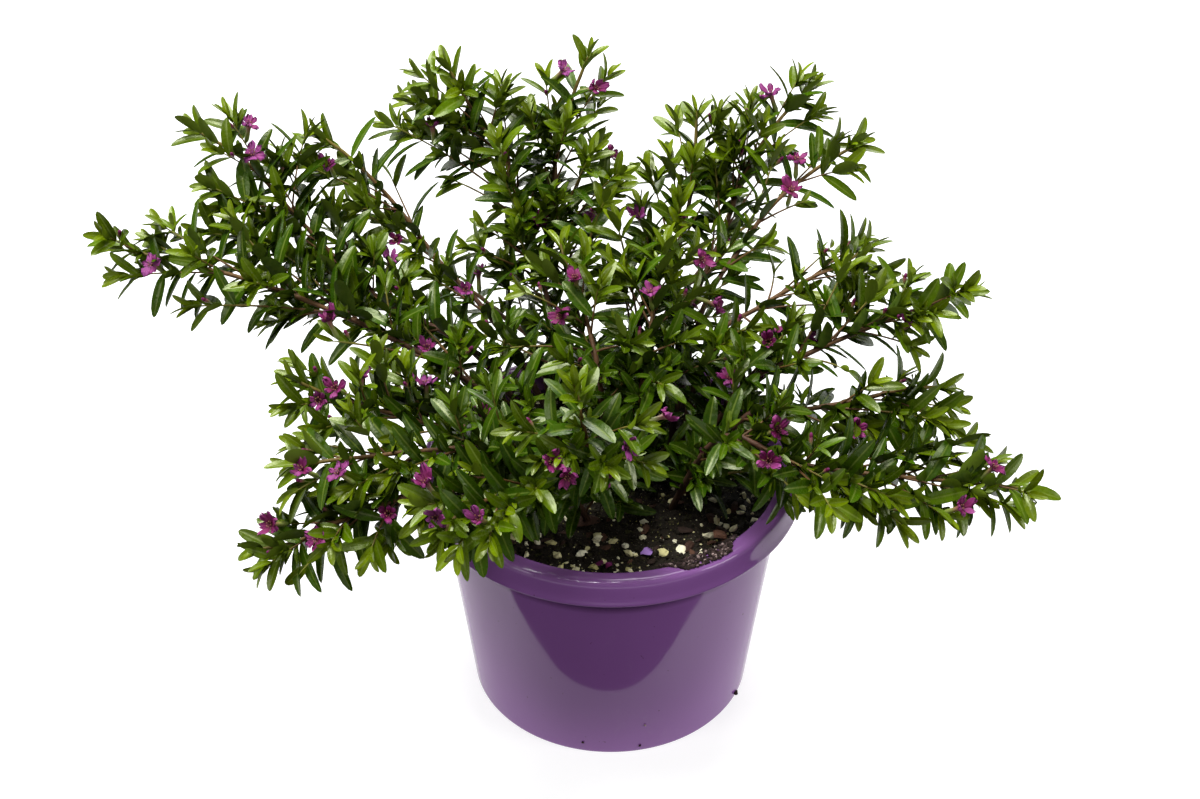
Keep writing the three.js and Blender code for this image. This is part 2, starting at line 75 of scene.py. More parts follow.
# Floor: a wide plain white studio table that the pot stands on, matt and bright enough to read as the
# white backdrop.
def mesh_object(name, points, faces, materials, face_material=None, uv=None, values=None, smooth=True):
    """A mesh object in the frame's own coordinates. faces is a list of arrays, one for each number of
    corners; uv holds one pair and each array of values one number for every point."""
    mesh = bpy.data.meshes.new(name)
    mesh.from_pydata(np.asarray(points).tolist(), [], [face for group in faces for face in group.tolist()])
    corner_points = np.empty(len(mesh.loops), np.int32)
    mesh.loops.foreach_get("vertex_index", corner_points)
    if uv is not None:
        layer = mesh.uv_layers.new(name="UVMap")
        layer.uv.foreach_set("vector", uv[corner_points].astype(np.float32).ravel())
    for key, column in (values or {}).items():
        mesh.attributes.new(key, "FLOAT", "POINT").data.foreach_set("value", column.astype(np.float32))
    for material in materials:
        mesh.materials.append(material)
    if face_material is not None:
        mesh.polygons.foreach_set("material_index", face_material.astype(np.int32))
    mesh.polygons.foreach_set("use_smooth", np.full(len(mesh.polygons), smooth))
    mesh.update()
    piece = bpy.data.objects.new(name, mesh)
    scene.collection.objects.link(piece)
    return piece


def new_material(name):
    """A material with its node tree and the tree's Principled shader."""
    material = bpy.data.materials.new(name)
    material.use_nodes = True
    return material, material.node_tree, material.node_tree.nodes["Principled BSDF"]


def feed(tree, end, value):
    """An input linked to a socket, or set to a constant number or colour."""
    if isinstance(value, bpy.types.NodeSocket):
        tree.links.new(value, end)
    else:
        end.default_value = (*value, 1.0) if isinstance(value, tuple) else value


def finished(tree, shader, color, roughness, shine=None):
    """A shader's colour, roughness and, where it isn't the usual one, strength of mirroring. Each is a
    socket or a constant."""
    feed(tree, shader.inputs["Base Color"], color)
    feed(tree, shader.inputs["Roughness"], roughness)
    if shine is not None:
        feed(tree, shader.inputs["Specular IOR Level"], shine)


floor_paint, tree, shader = new_material("floor_paint")
finished(tree, shader, (0.4, 0.4, 0.4), 0.85, 0.1)
shader.inputs["Emission Color"].default_value = (1.0, 1.0, 1.0, 1.0)
shader.inputs["Emission Strength"].default_value = 0.75
FLOOR_HALF = 4.0
corners = FLOOR_HALF * np.array([(-1.0, -1.0, 0.0), (1.0, -1.0, 0.0), (1.0, 1.0, 0.0), (-1.0, 1.0, 0.0)])
floor = mesh_object("floor", corners, [np.array([[0, 1, 2, 3]])], [floor_paint], smooth=False)
floor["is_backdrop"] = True

# Black card: a thin matt card on the table in front of the pot, its near edge curved round it. The camera
# doesn't see the card itself, only the dark patch that the pot's glossy wall mirrors under its rim.
CARD_FAR_EDGE, CARD_THICK = -0.40, 0.0004
card_black, tree, shader = new_material("card_black")
finished(tree, shader, (0.004, 0.004, 0.004), 1.0, 0.0)
near_edge = np.array([
    (-0.9, -0.035), (-0.108, -0.054), (-0.091, -0.0605), (-0.081, -0.0655), (-0.066, -0.071),
    (-0.054, -0.074), (-0.036, -0.0765), (-0.018, -0.079), (0.0, -0.080), (0.026, -0.080), (0.046, -0.080),
    (0.063, -0.0785), (0.075, -0.0755), (0.083, -0.072), (0.091, -0.068), (0.108, -0.060), (0.9, -0.035),
])
edge_count = len(near_edge)
across = np.concatenate([near_edge[:, 0], near_edge[::-1, 0]])
out = np.concatenate([near_edge[:, 1], np.full(edge_count, CARD_FAR_EDGE)])
corners = np.stack([across, out, np.full(2 * edge_count, CARD_THICK)], axis=1)
strip = np.arange(edge_count - 1)
far_side = 2 * edge_count - 1 - strip
card_faces = np.stack([strip, far_side, far_side - 1, strip + 1], axis=1)
card = mesh_object("card", corners, [card_faces], [card_black], smooth=False)
card.visible_camera = False
card.visible_shadow = False
card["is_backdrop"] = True


# Light: a dim room with a white backdrop, a strong soft box overhead, a larger one behind, and two weaker
# ones at the sides in front. Each lamp is a square turned towards the pot's rim.
def node(tree, kind, **settings):
    """A new shader node with its own settings and, by name, the values of its inputs."""
    made = tree.nodes.new(kind)
    for key, value in settings.items():
        if hasattr(made, key):
            setattr(made, key, value)
        else:
            made.inputs[key.replace("_", " ")].default_value = value
    return made


def ranged(tree, source, low, high, to_low, to_high):
    """A value carried from one range to another, held at its ends."""
    made = node(tree, "ShaderNodeMapRange", From_Min=low, From_Max=high, To_Min=to_low, To_Max=to_high)
    tree.links.new(source, made.inputs["Value"])
    return made.outputs["Result"]


world = bpy.data.worlds.new("room")
world.use_nodes = True
tree = world.node_tree
room = tree.nodes["Background"]
room.inputs["Color"].default_value = (1.0, 1.0, 1.0, 1.0)
path = node(tree, "ShaderNodeLightPath")
tree.links.new(ranged(tree, path.outputs["Is Camera Ray"], 0.0, 1.0, 0.17, 1.0), room.inputs["Strength"])
scene.world = world
for name, place, size, power in (
    ("soft_box_top", (-0.3, 0.24, 1.4), 0.8, 43.0),
    ("soft_box_back", (0.2, 1.7, 1.1), 1.2, 26.0),
    ("soft_box_left", (-1.2, -0.8, 1.1), 0.6, 9.0),
    ("soft_box_right", (1.3, -0.6, 0.9), 0.6, 12.0),
):
    lamp_data = bpy.data.lights.new(name, "AREA")
    lamp_data.shape = "SQUARE"
    lamp_data.size = size
    lamp_data.energy = power
    lamp = bpy.data.objects.new(name, lamp_data)
    lamp.location = place
    lamp.rotation_euler = (Vector(place) - Vector((0.0, 0.0, 0.1))).to_track_quat("Z", "Y").to_euler()
    scene.collection.objects.link(lamp)

# Pot: a moulded round nursery pot of glossy purple plastic, one thin wall with a turned-down rim band, a
# flat-topped lip with a raised ridge, a ring foot and a hollow base with six drain holes. It keeps the
# solid pot's outline, with its corners rounded as they come out of the mould.
#
# The outline is radius and height in millimetres, from the middle of the hollow base out and up the wall,
# over the rim and down the inside.
POT_FOOT = [
    (0.0, 0.05), (16.5, 0.05), (17.0, 0.3), (18.3, 2.2), (18.8, 2.4), (46.4, 2.4), (47.1, 2.1), (48.2, 0.3),
    (48.8, 0.0), (52.2, 0.0), (52.8, 0.2), (53.15, 0.8),
]
# The wall flares by 0.118 mm for each millimetre of height, and a little more towards the rim.
WALL_START, WALL_END, FOOT_RADIUS = 2.0, 95.0, 53.3
wall_height = np.linspace(WALL_START, WALL_END, 20)
wall_radius = FOOT_RADIUS + 0.118 * (wall_height - WALL_START) + 0.0001 * (wall_height - WALL_START) ** 2
POT_RIM_AND_INSIDE = [
    (65.2, 96.6), (65.5, 97.3), (66.1, 97.5), (68.0, 97.5), (68.6, 97.2), (68.8, 96.4), (69.2, 91.4),
    (69.35, 90.5), (69.7, 90.05), (70.4, 90.0), (70.95, 90.2), (71.13, 90.6), (71.05, 91.1), (70.86, 91.8),
    (70.66, 92.7), (70.52, 93.6), (70.4, 94.8), (70.2, 96.6), (70.0, 98.0), (69.75, 98.9), (69.35, 99.5),
    (68.8, 99.85), (67.8, 100.0), (66.6, 99.92), (64.6, 99.6), (63.6, 99.4), (63.0, 99.2), (62.5, 98.9),
    (62.2, 98.3), (62.0, 97.4), (61.6, 92.0), (60.0, 75.0), (57.7, 50.0), (54.8, 25.0), (52.3, 6.0),
    (51.9, 5.0), (51.0, 4.5), (50.0, 4.4), (0.0, 4.4),
]
POT_OUTLINE = POT_FOOT + list(zip(wall_radius, wall_height)) + POT_RIM_AND_INSIDE


def shader_group(name, inputs, output):
    """An empty shader node group with named inputs, each with its kind, and one named output. Gives the
    group, its taking node and its giving node."""
    group = bpy.data.node_groups.new(name, "ShaderNodeTree")
    for key, kind in inputs:
        group.interface.new_socket(name=key, in_out="INPUT", socket_type=kind)
    group.interface.new_socket(name=output[0], in_out="OUTPUT", socket_type=output[1])
    return group, group.nodes.new("NodeGroupInput"), group.nodes.new("NodeGroupOutput")


# Grain: noise in a piece's own coordinates, 0 to 1, that the materials of the pot, mix and plant use.
object_grain, taken, given = shader_group("object_grain", [
    ("Scale", "NodeSocketFloat"), ("Detail", "NodeSocketFloat"), ("Roughness", "NodeSocketFloat"),
    ("Stretch", "NodeSocketVector"),
], ("Grain", "NodeSocketFloat"))
mapping = node(object_grain, "ShaderNodeMapping")
object_place = node(object_grain, "ShaderNodeTexCoord").outputs["Object"]
object_grain.links.new(object_place, mapping.inputs["Vector"])
object_grain.links.new(taken.outputs["Stretch"], mapping.inputs["Scale"])
made = node(object_grain, "ShaderNodeTexNoise")
object_grain.links.new(mapping.outputs["Vector"], made.inputs["Vector"])
for key in ("Scale", "Detail", "Roughness"):
    object_grain.links.new(taken.outputs[key], made.inputs[key])
object_grain.links.new(made.outputs["Fac"], given.inputs["Grain"])


def grain(tree, scale, detail=3.0, roughness=0.5, stretch=(1.0, 1.0, 1.0)):
    """The grain group placed in a material. The scale is in grains to the metre."""
    made = node(tree, "ShaderNodeGroup", node_tree=object_grain, Scale=scale, Detail=detail,
                Roughness=roughness, Stretch=stretch)
    return made.outputs["Grain"]


# Blotches: a second colour over the first, where a grain rises from a low value to a high one.
blotches, taken, given = shader_group("blotches", [
    ("Color", "NodeSocketColor"), ("Blotch Color", "NodeSocketColor"), ("Grain", "NodeSocketFloat"),
    ("Low", "NodeSocketFloat"), ("High", "NodeSocketFloat"), ("Amount", "NodeSocketFloat"),
], ("Color", "NodeSocketColor"))
rise = node(blotches, "ShaderNodeMapRange")
for key, end in (("Grain", "Value"), ("Low", "From Min"), ("High", "From Max"), ("Amount", "To Max")):
    blotches.links.new(taken.outputs[key], rise.inputs[end])
# A colour Mix node knows its factor, its two colours and its result by these numbers only.
MIX_FACTOR, MIX_LOW, MIX_HIGH, MIX_RESULT = 0, 6, 7, 2
over = node(blotches, "ShaderNodeMix", data_type="RGBA")
blotches.links.new(rise.outputs["Result"], over.inputs[MIX_FACTOR])
blotches.links.new(taken.outputs["Color"], over.inputs[MIX_LOW])
blotches.links.new(taken.outputs["Blotch Color"], over.inputs[MIX_HIGH])
blotches.links.new(over.outputs[MIX_RESULT], given.inputs["Color"])


def blotched(tree, base, blotch, source, low, high, amount):
    """The blotches group placed in a material, over a base that is a socket or a constant colour."""
    made = node(tree, "ShaderNodeGroup", node_tree=blotches, Low=low, High=high, Amount=amount)
    for key, value in (("Blotch Color", blotch), ("Grain", source), ("Color", base)):
        feed(tree, made.inputs[key], value)
    return made.outputs["Color"]


def mixed(tree, factor, low, high):
    """Two colours mixed by a factor socket. The colours are each a socket or a constant."""
    made = node(tree, "ShaderNodeMix", data_type="RGBA")
    for end, value in ((MIX_FACTOR, factor), (MIX_LOW, low), (MIX_HIGH, high)):
        feed(tree, made.inputs[end], value)
    return made.outputs[MIX_RESULT]


def bumped(tree, shader, height, strength, distance):
    """Relief on a shader from a height field, in metres for a height of 1."""
    made = node(tree, "ShaderNodeBump", Strength=strength, Distance=distance)
    tree.links.new(height, made.inputs["Height"])
    tree.links.new(made.outputs["Normal"], shader.inputs["Normal"])


# The plastic is a little cloudy, with dark specks, pale smears and fine upright scuffs. Painted shade
# darkens the wall just under the band, and more painted shade dulls the top of the lip. Its gloss is held
# down at a flat angle, where the worn face of the real pot stays plain.
BAND_FOOT, LIP_EDGE, LIP_RIDGE = 0.0900, 0.0984, 0.0998
pot_plastic, tree, shader = new_material("pot_plastic")
cloudy = grain(tree, 18.0, 4.0, stretch=(1.0, 1.0, 0.5))
base = mixed(tree, cloudy, (0.188, 0.074, 0.244), (0.217, 0.087, 0.284))
base = blotched(tree, base, (0.03, 0.02, 0.025), grain(tree, 420.0, 2.0), 0.74, 0.78, 0.6)
smears = grain(tree, 55.0, 6.0, 0.7, (1.0, 1.0, 0.6))
base = blotched(tree, base, (0.26, 0.16, 0.30), smears, 0.60, 0.74, 0.13)
place = node(tree, "ShaderNodeSeparateXYZ")
tree.links.new(node(tree, "ShaderNodeTexCoord").outputs["Object"], place.inputs["Vector"])
height = place.outputs["Z"]
# Painted shade: the wall just under the band's foot is mixed up to 70 percent towards near-black purple.
painted_shade_amount = ranged(tree, height, BAND_FOOT - 0.0103, BAND_FOOT - 0.0064, 0.0, 0.70)
painted_shade_under_band = mixed(tree, painted_shade_amount, base, (0.018, 0.006, 0.020))
base = mixed(tree, ranged(tree, height, BAND_FOOT - 0.0003, BAND_FOOT + 0.0003, 0.0, 1.0), painted_shade_under_band, base)
# Painted shade: the top of the lip, from its edge to its ridge, is mixed up to 30 percent towards a dull
# grey-purple.
painted_lip_shade = ranged(tree, height, LIP_EDGE, LIP_RIDGE, 0.0, 0.30)
base = mixed(tree, painted_lip_shade, base, (0.060, 0.035, 0.055))
scuffs = ranged(tree, grain(tree, 90.0, 5.0, 0.65, (1.0, 1.0, 0.25)), 0.3, 0.8, 0.05, 0.12)
facing = node(tree, "ShaderNodeLayerWeight").outputs["Facing"]
finished(tree, shader, base, scuffs, ranged(tree, facing, 0.45, 0.85, 0.32, 0.05))
bumped(tree, shader, grain(tree, 25.0, 1.0), 0.06, 0.0008)


def tube_faces(rings, sides):
    """The four-cornered faces of a tube: each ring's points, numbered round it, are joined to the next's."""
    ring, side = np.meshgrid(np.arange(rings - 1), np.arange(sides), indexing="ij")
    near, beside = ring * sides + side, ring * sides + (side + 1) % sides
    return np.stack([near, beside, beside + sides, near + sides], axis=2).reshape(-1, 4)


def copied_faces(faces, count, point_count):
    """The faces of a shape's copies one after another, each copy with its own points."""
    return (faces[None] + (np.arange(count) * point_count)[:, None, None]).reshape(-1, faces.shape[1])


def turned(outline, sides):
    """Points and faces of an outline of radius and height in millimetres, turned about the pot's axis.
    An end of the outline on the axis becomes one point with a fan of triangles round it."""
    outline = np.asarray(outline) / 1000
    angle = np.linspace(0, 2 * np.pi, sides, endpoint=False)
    radius, height = outline[1:-1].T
    rings = np.stack([
        np.outer(radius, np.cos(angle)), np.outer(radius, np.sin(angle)), np.outer(height, np.ones(sides)),
    ], axis=2)
    points = np.concatenate([rings.reshape(-1, 3), [(0, 0, outline[0, 1])], [(0, 0, outline[-1, 1])]])
    around = np.arange(sides)
    first = np.stack([np.full(sides, len(points) - 2), (around + 1) % sides, around], axis=1)
    top = (len(radius) - 1) * sides
    last = np.stack([np.full(sides, len(points) - 1), top + around, top + (around + 1) % sides], axis=1)
    return points, [tube_faces(len(radius), sides), np.concatenate([first, last])]


POT_SIDES = 144
points, faces = turned(POT_OUTLINE, POT_SIDES)
pot = mesh_object("pot_moulded", points, faces, [pot_plastic])

# The drain holes are cut out of the floor with six upright rods on a circle round the pot's axis.
HOLE_COUNT, HOLE_RADIUS, HOLE_CIRCLE = 6, 4.5, 0.036
rod_points, rod_faces = turned([(0.0, -2.0), (HOLE_RADIUS, -2.0), (HOLE_RADIUS, 8.0), (0.0, 8.0)], 24)
turn = (np.arange(HOLE_COUNT) + 0.5) / HOLE_COUNT * 2 * np.pi
rod_centres = HOLE_CIRCLE * np.stack([np.cos(turn), np.sin(turn), 0 * turn], axis=1)
rods_points = (rod_points[None] + rod_centres[:, None]).reshape(-1, 3)
rods_faces = [copied_faces(group, HOLE_COUNT, len(rod_points)) for group in rod_faces]
drill = mesh_object("drain_holes", rods_points, rods_faces, [])
cut = pot.modifiers.new("drain", "BOOLEAN")
cut.object = drill
cut.solver = "EXACT"
bpy.context.view_layer.update()
pierced = bpy.data.meshes.new_from_object(pot.evaluated_get(bpy.context.evaluated_depsgraph_get()))
pot.modifiers.clear()
pot.data = pierced
bpy.data.objects.remove(drill)
pierced.polygons.foreach_set("use_smooth", np.ones(len(pierced.polygons), bool))
pierced.set_sharp_from_angle(angle=math.radians(50))
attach(pot, "root")
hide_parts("pot")

# Potting mix: damp black peat and composted bark that fills the pot to just under the rim, heaped a
# little in the middle. Its top is crumbly at every size down to a millimetre, and at the right of the
# front a bank of it leans on the rim.
SOIL_EDGE = 61.2
SOIL_TOP = [(0.0, 91.4), (30.0, 90.6), (50.0, 89.3), (SOIL_EDGE, 87.9)]
BANK_RISE, BANK_START, BANK_WIDTH = 9.6, 52.0, 8.5
BANK_TURN, BANK_SPREAD = -57, 11
soil_random = np.random.default_rng(7)


def lattice_noise(x, y, cell, seed):
    """Smooth heights from -1 to 1: seeded random values on a square lattice, blended between the four
    around a point with the weight t*t*(3 - 2*t)."""
    table = np.random.default_rng(seed).uniform(-1, 1, (64, 64))
    across, up = x / cell, y / cell
    column, row = np.floor(across).astype(int), np.floor(up).astype(int)
    s, t = across - column, up - row
    s, t = s * s * (3 - 2 * s), t * t * (3 - 2 * t)
    corner = [[table[(column + i) % 64, (row + j) % 64] for j in (0, 1)] for i in (0, 1)]
    low = corner[0][0] * (1 - s) + corner[1][0] * s
    high = corner[0][1] * (1 - s) + corner[1][1] * s
    return low * (1 - t) + high * t


def soil_height(x, y):
    """The top of the mix in millimetres: a low heap; a bank, its rise times a slope towards the rim and a
    bell round its turn; and crumbs of 14, 6, 3 and 1.5 mm added up, which are flatter beside the wall."""
    radius = np.hypot(x, y)
    turn = np.degrees(np.arctan2(y, x))
    heap = np.interp(radius, *np.array(SOIL_TOP).T)
    slope = np.clip((radius - BANK_START) / BANK_WIDTH, 0, 1)
    heap += BANK_RISE * slope * np.exp(-(((turn - BANK_TURN) / BANK_SPREAD) ** 2))
    rough = 0.9 * lattice_noise(x, y, 14.0, 1) + 0.7 * lattice_noise(x, y, 6.0, 2)
    rough += 0.5 * lattice_noise(x, y, 3.0, 3) + 0.3 * lattice_noise(x, y, 1.5, 4)
    return heap + rough * np.interp(radius, (56.0, 61.0), (1.0, 0.35))


mix, tree, shader = new_material("peat_mix")
patchy = grain(tree, 160.0, 5.0)
dark = mixed(tree, patchy, (0.0042, 0.0031, 0.0019), (0.0150, 0.0110, 0.0056))
dark = blotched(tree, dark, (0.040, 0.026, 0.014), grain(tree, 900.0), 0.60, 0.72, 0.8)
dark = blotched(tree, dark, (0.042, 0.044, 0.010), grain(tree, 420.0, 4.0), 0.58, 0.68, 0.6)
dark = blotched(tree, dark, (0.45, 0.42, 0.30), grain(tree, 1300.0, 2.0), 0.70, 0.76, 1.0)
finished(tree, shader, dark, ranged(tree, patchy, 0.3, 0.7, 0.95, 0.6), 0.15)
bumped(tree, shader, grain(tree, 1100.0, 5.0), 0.9, 0.0012)

# The body's outline follows the pot's inside up to the edge. The rings across the top then take the
# heap's height point by point.
SOIL_SIDES, SOIL_RINGS = 300, 62
outline = [(0.0, 4.75), (51.0, 4.75), (57.3, 50.0), (61.0, 86.0)]
outline += [(radius, 88.0) for radius in np.linspace(1.0, SOIL_EDGE, SOIL_RINGS)[::-1]] + [(0.0, 91.0)]
points, faces = turned(outline, SOIL_SIDES)
is_top = points[:, 2] > 0.0875
x, y = points[is_top, 0] * 1000, points[is_top, 1] * 1000
points[is_top, 2] = soil_height(x, y) / 1000
soil = mesh_object("mix_heap", points, faces, [mix])
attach(soil, "root")
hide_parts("soil")


def lump_template():
    """A rough ball of 18 points and 32 faces: an octahedron with each edge halved and every point moved
    out to a radius of 1."""
    axes = np.array([(1, 0, 0), (-1, 0, 0), (0, 1, 0), (0, -1, 0), (0, 0, 1), (0, 0, -1)], float)
    tips = [(0, 2, 4), (2, 1, 4), (1, 3, 4), (3, 0, 4), (2, 0, 5), (1, 2, 5), (3, 1, 5), (0, 3, 5)]
    points = axes.tolist()
    halves = {}
    faces = []
    for a, b, c in tips:
        middle = []
        for pair in ((a, b), (b, c), (c, a)):
            key = tuple(sorted(pair))
            if key not in halves:
                halves[key] = len(points)
                points.append(((axes[pair[0]] + axes[pair[1]]) / math.sqrt(2)).tolist())
            middle.append(halves[key])
        ab, bc, ca = middle
        faces += [(a, ab, ca), (ab, b, bc), (ca, bc, c), (ab, bc, ca)]
    return np.array(points), np.array(faces)


LUMP_POINTS, LUMP_FACES = lump_template()


def scattered(name, centres, sizes, shape, roughness, tilt, materials, random, smooth=True):
    """Copies of the rough ball at the centres, in millimetres. Each is scaled by its size and the shape,
    its points moved in or out by the roughness, turned about +Z and tipped by up to the tilt."""
    count = len(centres)
    points = LUMP_POINTS[None] * (1 + roughness * random.uniform(-1, 1, (count, len(LUMP_POINTS), 1)))
    points = points * (sizes[:, None] * (1 + 0.25 * random.uniform(-1, 1, (count, 3))) * shape)[:, None]
    turn = random.uniform(0, 2 * np.pi, count)
    lean = random.uniform(-tilt, tilt, count)
    x, y, z = points[..., 0], points[..., 1], points[..., 2]
    cosine, sine = np.cos(lean)[:, None], np.sin(lean)[:, None]
    y, z = y * cosine - z * sine, y * sine + z * cosine
    cosine, sine = np.cos(turn)[:, None], np.sin(turn)[:, None]
    x, y = x * cosine - y * sine, x * sine + y * cosine
    points = (np.stack([x, y, z], axis=2) + centres[:, None]).reshape(-1, 3) / 1000
    faces = copied_faces(LUMP_FACES, count, len(LUMP_POINTS))
    tone = np.repeat(random.uniform(0, 1, count), len(LUMP_POINTS))
    piece = mesh_object(name, points, [faces], materials, values={"tone": tone}, smooth=smooth)
    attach(piece, "root")


def on_soil(random, count, reach, sunk):
    """Seeded places on the top of the mix, evenly spread inside a radius of reach millimetres, and each
    lowered by sunk millimetres."""
    radius = reach * np.sqrt(random.uniform(0, 1, count))
    angle = random.uniform(0, 2 * np.pi, count)
    x, y = radius * np.cos(angle), radius * np.sin(angle)
    return np.stack([x, y, soil_height(x, y) - sunk], axis=1)


# Crumbs: loose bits of peat and fine bark, up to 3 mm across, that watering has washed up out of the mix.
# They lie on it, sunk in a little.
LITTER_REACH = 60.0
CRUMBS = 1500
crumb_centres = on_soil(soil_random, CRUMBS, LITTER_REACH, 0.1)
crumb_sizes = soil_random.uniform(0.4, 1.5, CRUMBS) ** 1.3
scattered("mix_crumbs", crumb_centres, crumb_sizes, (1.0, 0.8, 0.6), 0.25, 0.6, [mix], soil_random)

# Perlite: puffed cream-white volcanic grains mixed through the peat, with dirt in their pores. More of
# them lie towards the rim, where the water carries them.
def ramp(tree, source, stops):
    """A colour ramp read by a 0 to 1 value. Each stop is a place and a linear colour."""
    made = tree.nodes.new("ShaderNodeValToRGB")
    while len(made.color_ramp.elements) < len(stops):
        made.color_ramp.elements.new(0.5)
    for element, (place, color) in zip(made.color_ramp.elements, stops):
        element.position = place
        element.color = (*color, 1.0)
    tree.links.new(source, made.inputs["Fac"])
    return made.outputs["Color"]


def own_value(tree, key):
    """A value that a piece's mesh carries at each point, such as its tone or age, from 0 to 1."""
    return node(tree, "ShaderNodeAttribute", attribute_name=key).outputs["Fac"]


perlite, tree, shader = new_material("perlite")
pale = ramp(tree, own_value(tree, "tone"), [
    (0.0, (0.50, 0.46, 0.17)), (0.4, (0.72, 0.67, 0.38)), (1.0, (0.85, 0.82, 0.60)),
])
pale = blotched(tree, pale, (0.10, 0.075, 0.045), grain(tree, 700.0, 4.0), 0.5, 0.75, 0.6)
finished(tree, shader, pale, 0.85)
bumped(tree, shader, grain(tree, 2200.0), 0.7, 0.0004)
GRAINS = 1060
grain_centres = on_soil(soil_random, GRAINS, LITTER_REACH, 0.0)
towards_rim = np.hypot(grain_centres[:, 0], grain_centres[:, 1]) / LITTER_REACH
grain_centres = grain_centres[soil_random.uniform(0, 1, GRAINS) < 0.15 + 0.85 * towards_rim**2]
grain_sizes = 0.32 + 2.15 * soil_random.uniform(0, 1, len(grain_centres)) ** 2.4
scattered("perlite_grains", grain_centres, grain_sizes, (1.0, 0.75, 0.65), 0.36, 0.9, [perlite],
          soil_random, False)

# Flecks: bits of pale olive moss and fibre up to about a millimetre across, sifted all over the mix as
# it settles and greens in the light.
moss, tree, shader = new_material("moss_fleck")
olive = ramp(tree, own_value(tree, "tone"), [
    (0.0, (0.040, 0.036, 0.008)), (0.6, (0.125, 0.115, 0.026)), (1.0, (0.42, 0.38, 0.13)),
])
olive = blotched(tree, olive, (0.03, 0.024, 0.010), grain(tree, 1200.0, 4.0), 0.5, 0.75, 0.6)
finished(tree, shader, olive, 0.9)
bumped(tree, shader, grain(tree, 2200.0), 0.6, 0.0003)
FLECKS = 900
fleck_centres = on_soil(soil_random, FLECKS, LITTER_REACH, 0.0)
fleck_sizes = 0.18 + 0.42 * soil_random.uniform(0, 1, FLECKS) ** 2
scattered("mix_flecks", fleck_centres, fleck_sizes, (1.0, 0.7, 0.6), 0.3, 0.9, [moss], soil_random)

# Bark: flat reddish-brown chips of composted pine bark, most of them 2 to 7 mm long, that lie on the mix.
# The first two have places of their own: a large one left of the middle and one on the bank.
bark, tree, shader = new_material("bark_chip")
brown = ramp(tree, own_value(tree, "tone"), [
    (0.0, (0.022, 0.012, 0.008)), (0.6, (0.060, 0.026, 0.014)), (1.0, (0.12, 0.050, 0.026)),
])
brown = mixed(tree, grain(tree, 500.0, 4.0), brown, (0.015, 0.009, 0.006))
finished(tree, shader, brown, 0.8, 0.2)
bumped(tree, shader, grain(tree, 800.0, 4.0), 0.8, 0.0008)
CHIPS = 90
chip_centres = on_soil(soil_random, CHIPS, 57.0, -0.2)
chip_centres[:2] = [(-9.6, -25.2, 91.2), (38.6, -40.4, 97.8)]
chip_sizes = 0.9 + 2.6 * soil_random.uniform(0, 1, CHIPS) ** 1.5
chip_sizes[:2] = [7.0, 3.4]
scattered("bark_chips", chip_centres, chip_sizes, (1.0, 0.55, 0.26), 0.28, 0.4, [bark], soil_random, False)

# Spilled mix: dry crumbs of peat that lie on the bank at the right of the front and over the lip beside
# it, and four specks stuck to the outside of the wall near its foot.
dry_crumb, tree, shader = new_material("dry_crumb")
dusty = ramp(tree, own_value(tree, "tone"), [
    (0.0, (0.009, 0.006, 0.005)), (0.6, (0.026, 0.016, 0.014)), (0.9, (0.085, 0.055, 0.053)),
    (1.0, (0.36, 0.27, 0.25)),
])
dusty = blotched(tree, dusty, (0.02, 0.012, 0.009), grain(tree, 900.0, 4.0), 0.45, 0.7, 0.7)
finished(tree, shader, dusty, 0.9, 0.15)
bumped(tree, shader, grain(tree, 1500.0, 4.0), 0.8, 0.0005)
BANK_CRUMBS, LIP_CRUMBS = 360, 620
LIP_INSIDE, LIP_TOP = 61.5, 99.1
bank_turn = np.radians(soil_random.uniform(-72, -42, BANK_CRUMBS))
bank_radius = soil_random.uniform(BANK_START, SOIL_EDGE, BANK_CRUMBS)
bank_height = soil_height(bank_radius * np.cos(bank_turn), bank_radius * np.sin(bank_turn)) + 0.3
# The crumbs reach right across the lip around a turn of -59 degrees. From 13 degrees to either side of
# that, they lie on its inner edge only.
lip_turn = soil_random.uniform(-74, -44, LIP_CRUMBS)
lip_reach = 0.4 + 6.0 * np.exp(-(((lip_turn + 59) / 11) ** 6))
lip_radius = LIP_INSIDE + lip_reach * soil_random.uniform(0, 1, LIP_CRUMBS) ** 0.8
lip_height = LIP_TOP + 0.17 * (lip_radius - LIP_INSIDE) + soil_random.uniform(0, 0.5, LIP_CRUMBS)
lip_turn = np.radians(lip_turn)
wall_turn = np.radians([-78.1, -101.3, -76.6, -25.6])
spilled_turn = np.concatenate([bank_turn, lip_turn, wall_turn])
spilled_radius = np.concatenate([bank_radius, lip_radius, [53.6, 53.9, 55.2, 53.6]])
spilled_height = np.concatenate([bank_height, lip_height, [3.5, 5.5, 15.3, 2.8]])
spilled_centres = np.stack([
    spilled_radius * np.cos(spilled_turn), spilled_radius * np.sin(spilled_turn), spilled_height], axis=1)
spilled_sizes = np.concatenate([
    0.35 + 0.9 * soil_random.uniform(0, 1, BANK_CRUMBS) ** 2,
    soil_random.uniform(0.35, 0.85, LIP_CRUMBS), [0.7, 0.6, 0.5, 1.2],
])
scattered("mix_spilled", spilled_centres, spilled_sizes, (1.0, 0.8, 0.6), 0.3, 0.8, [dry_crumb], soil_random)

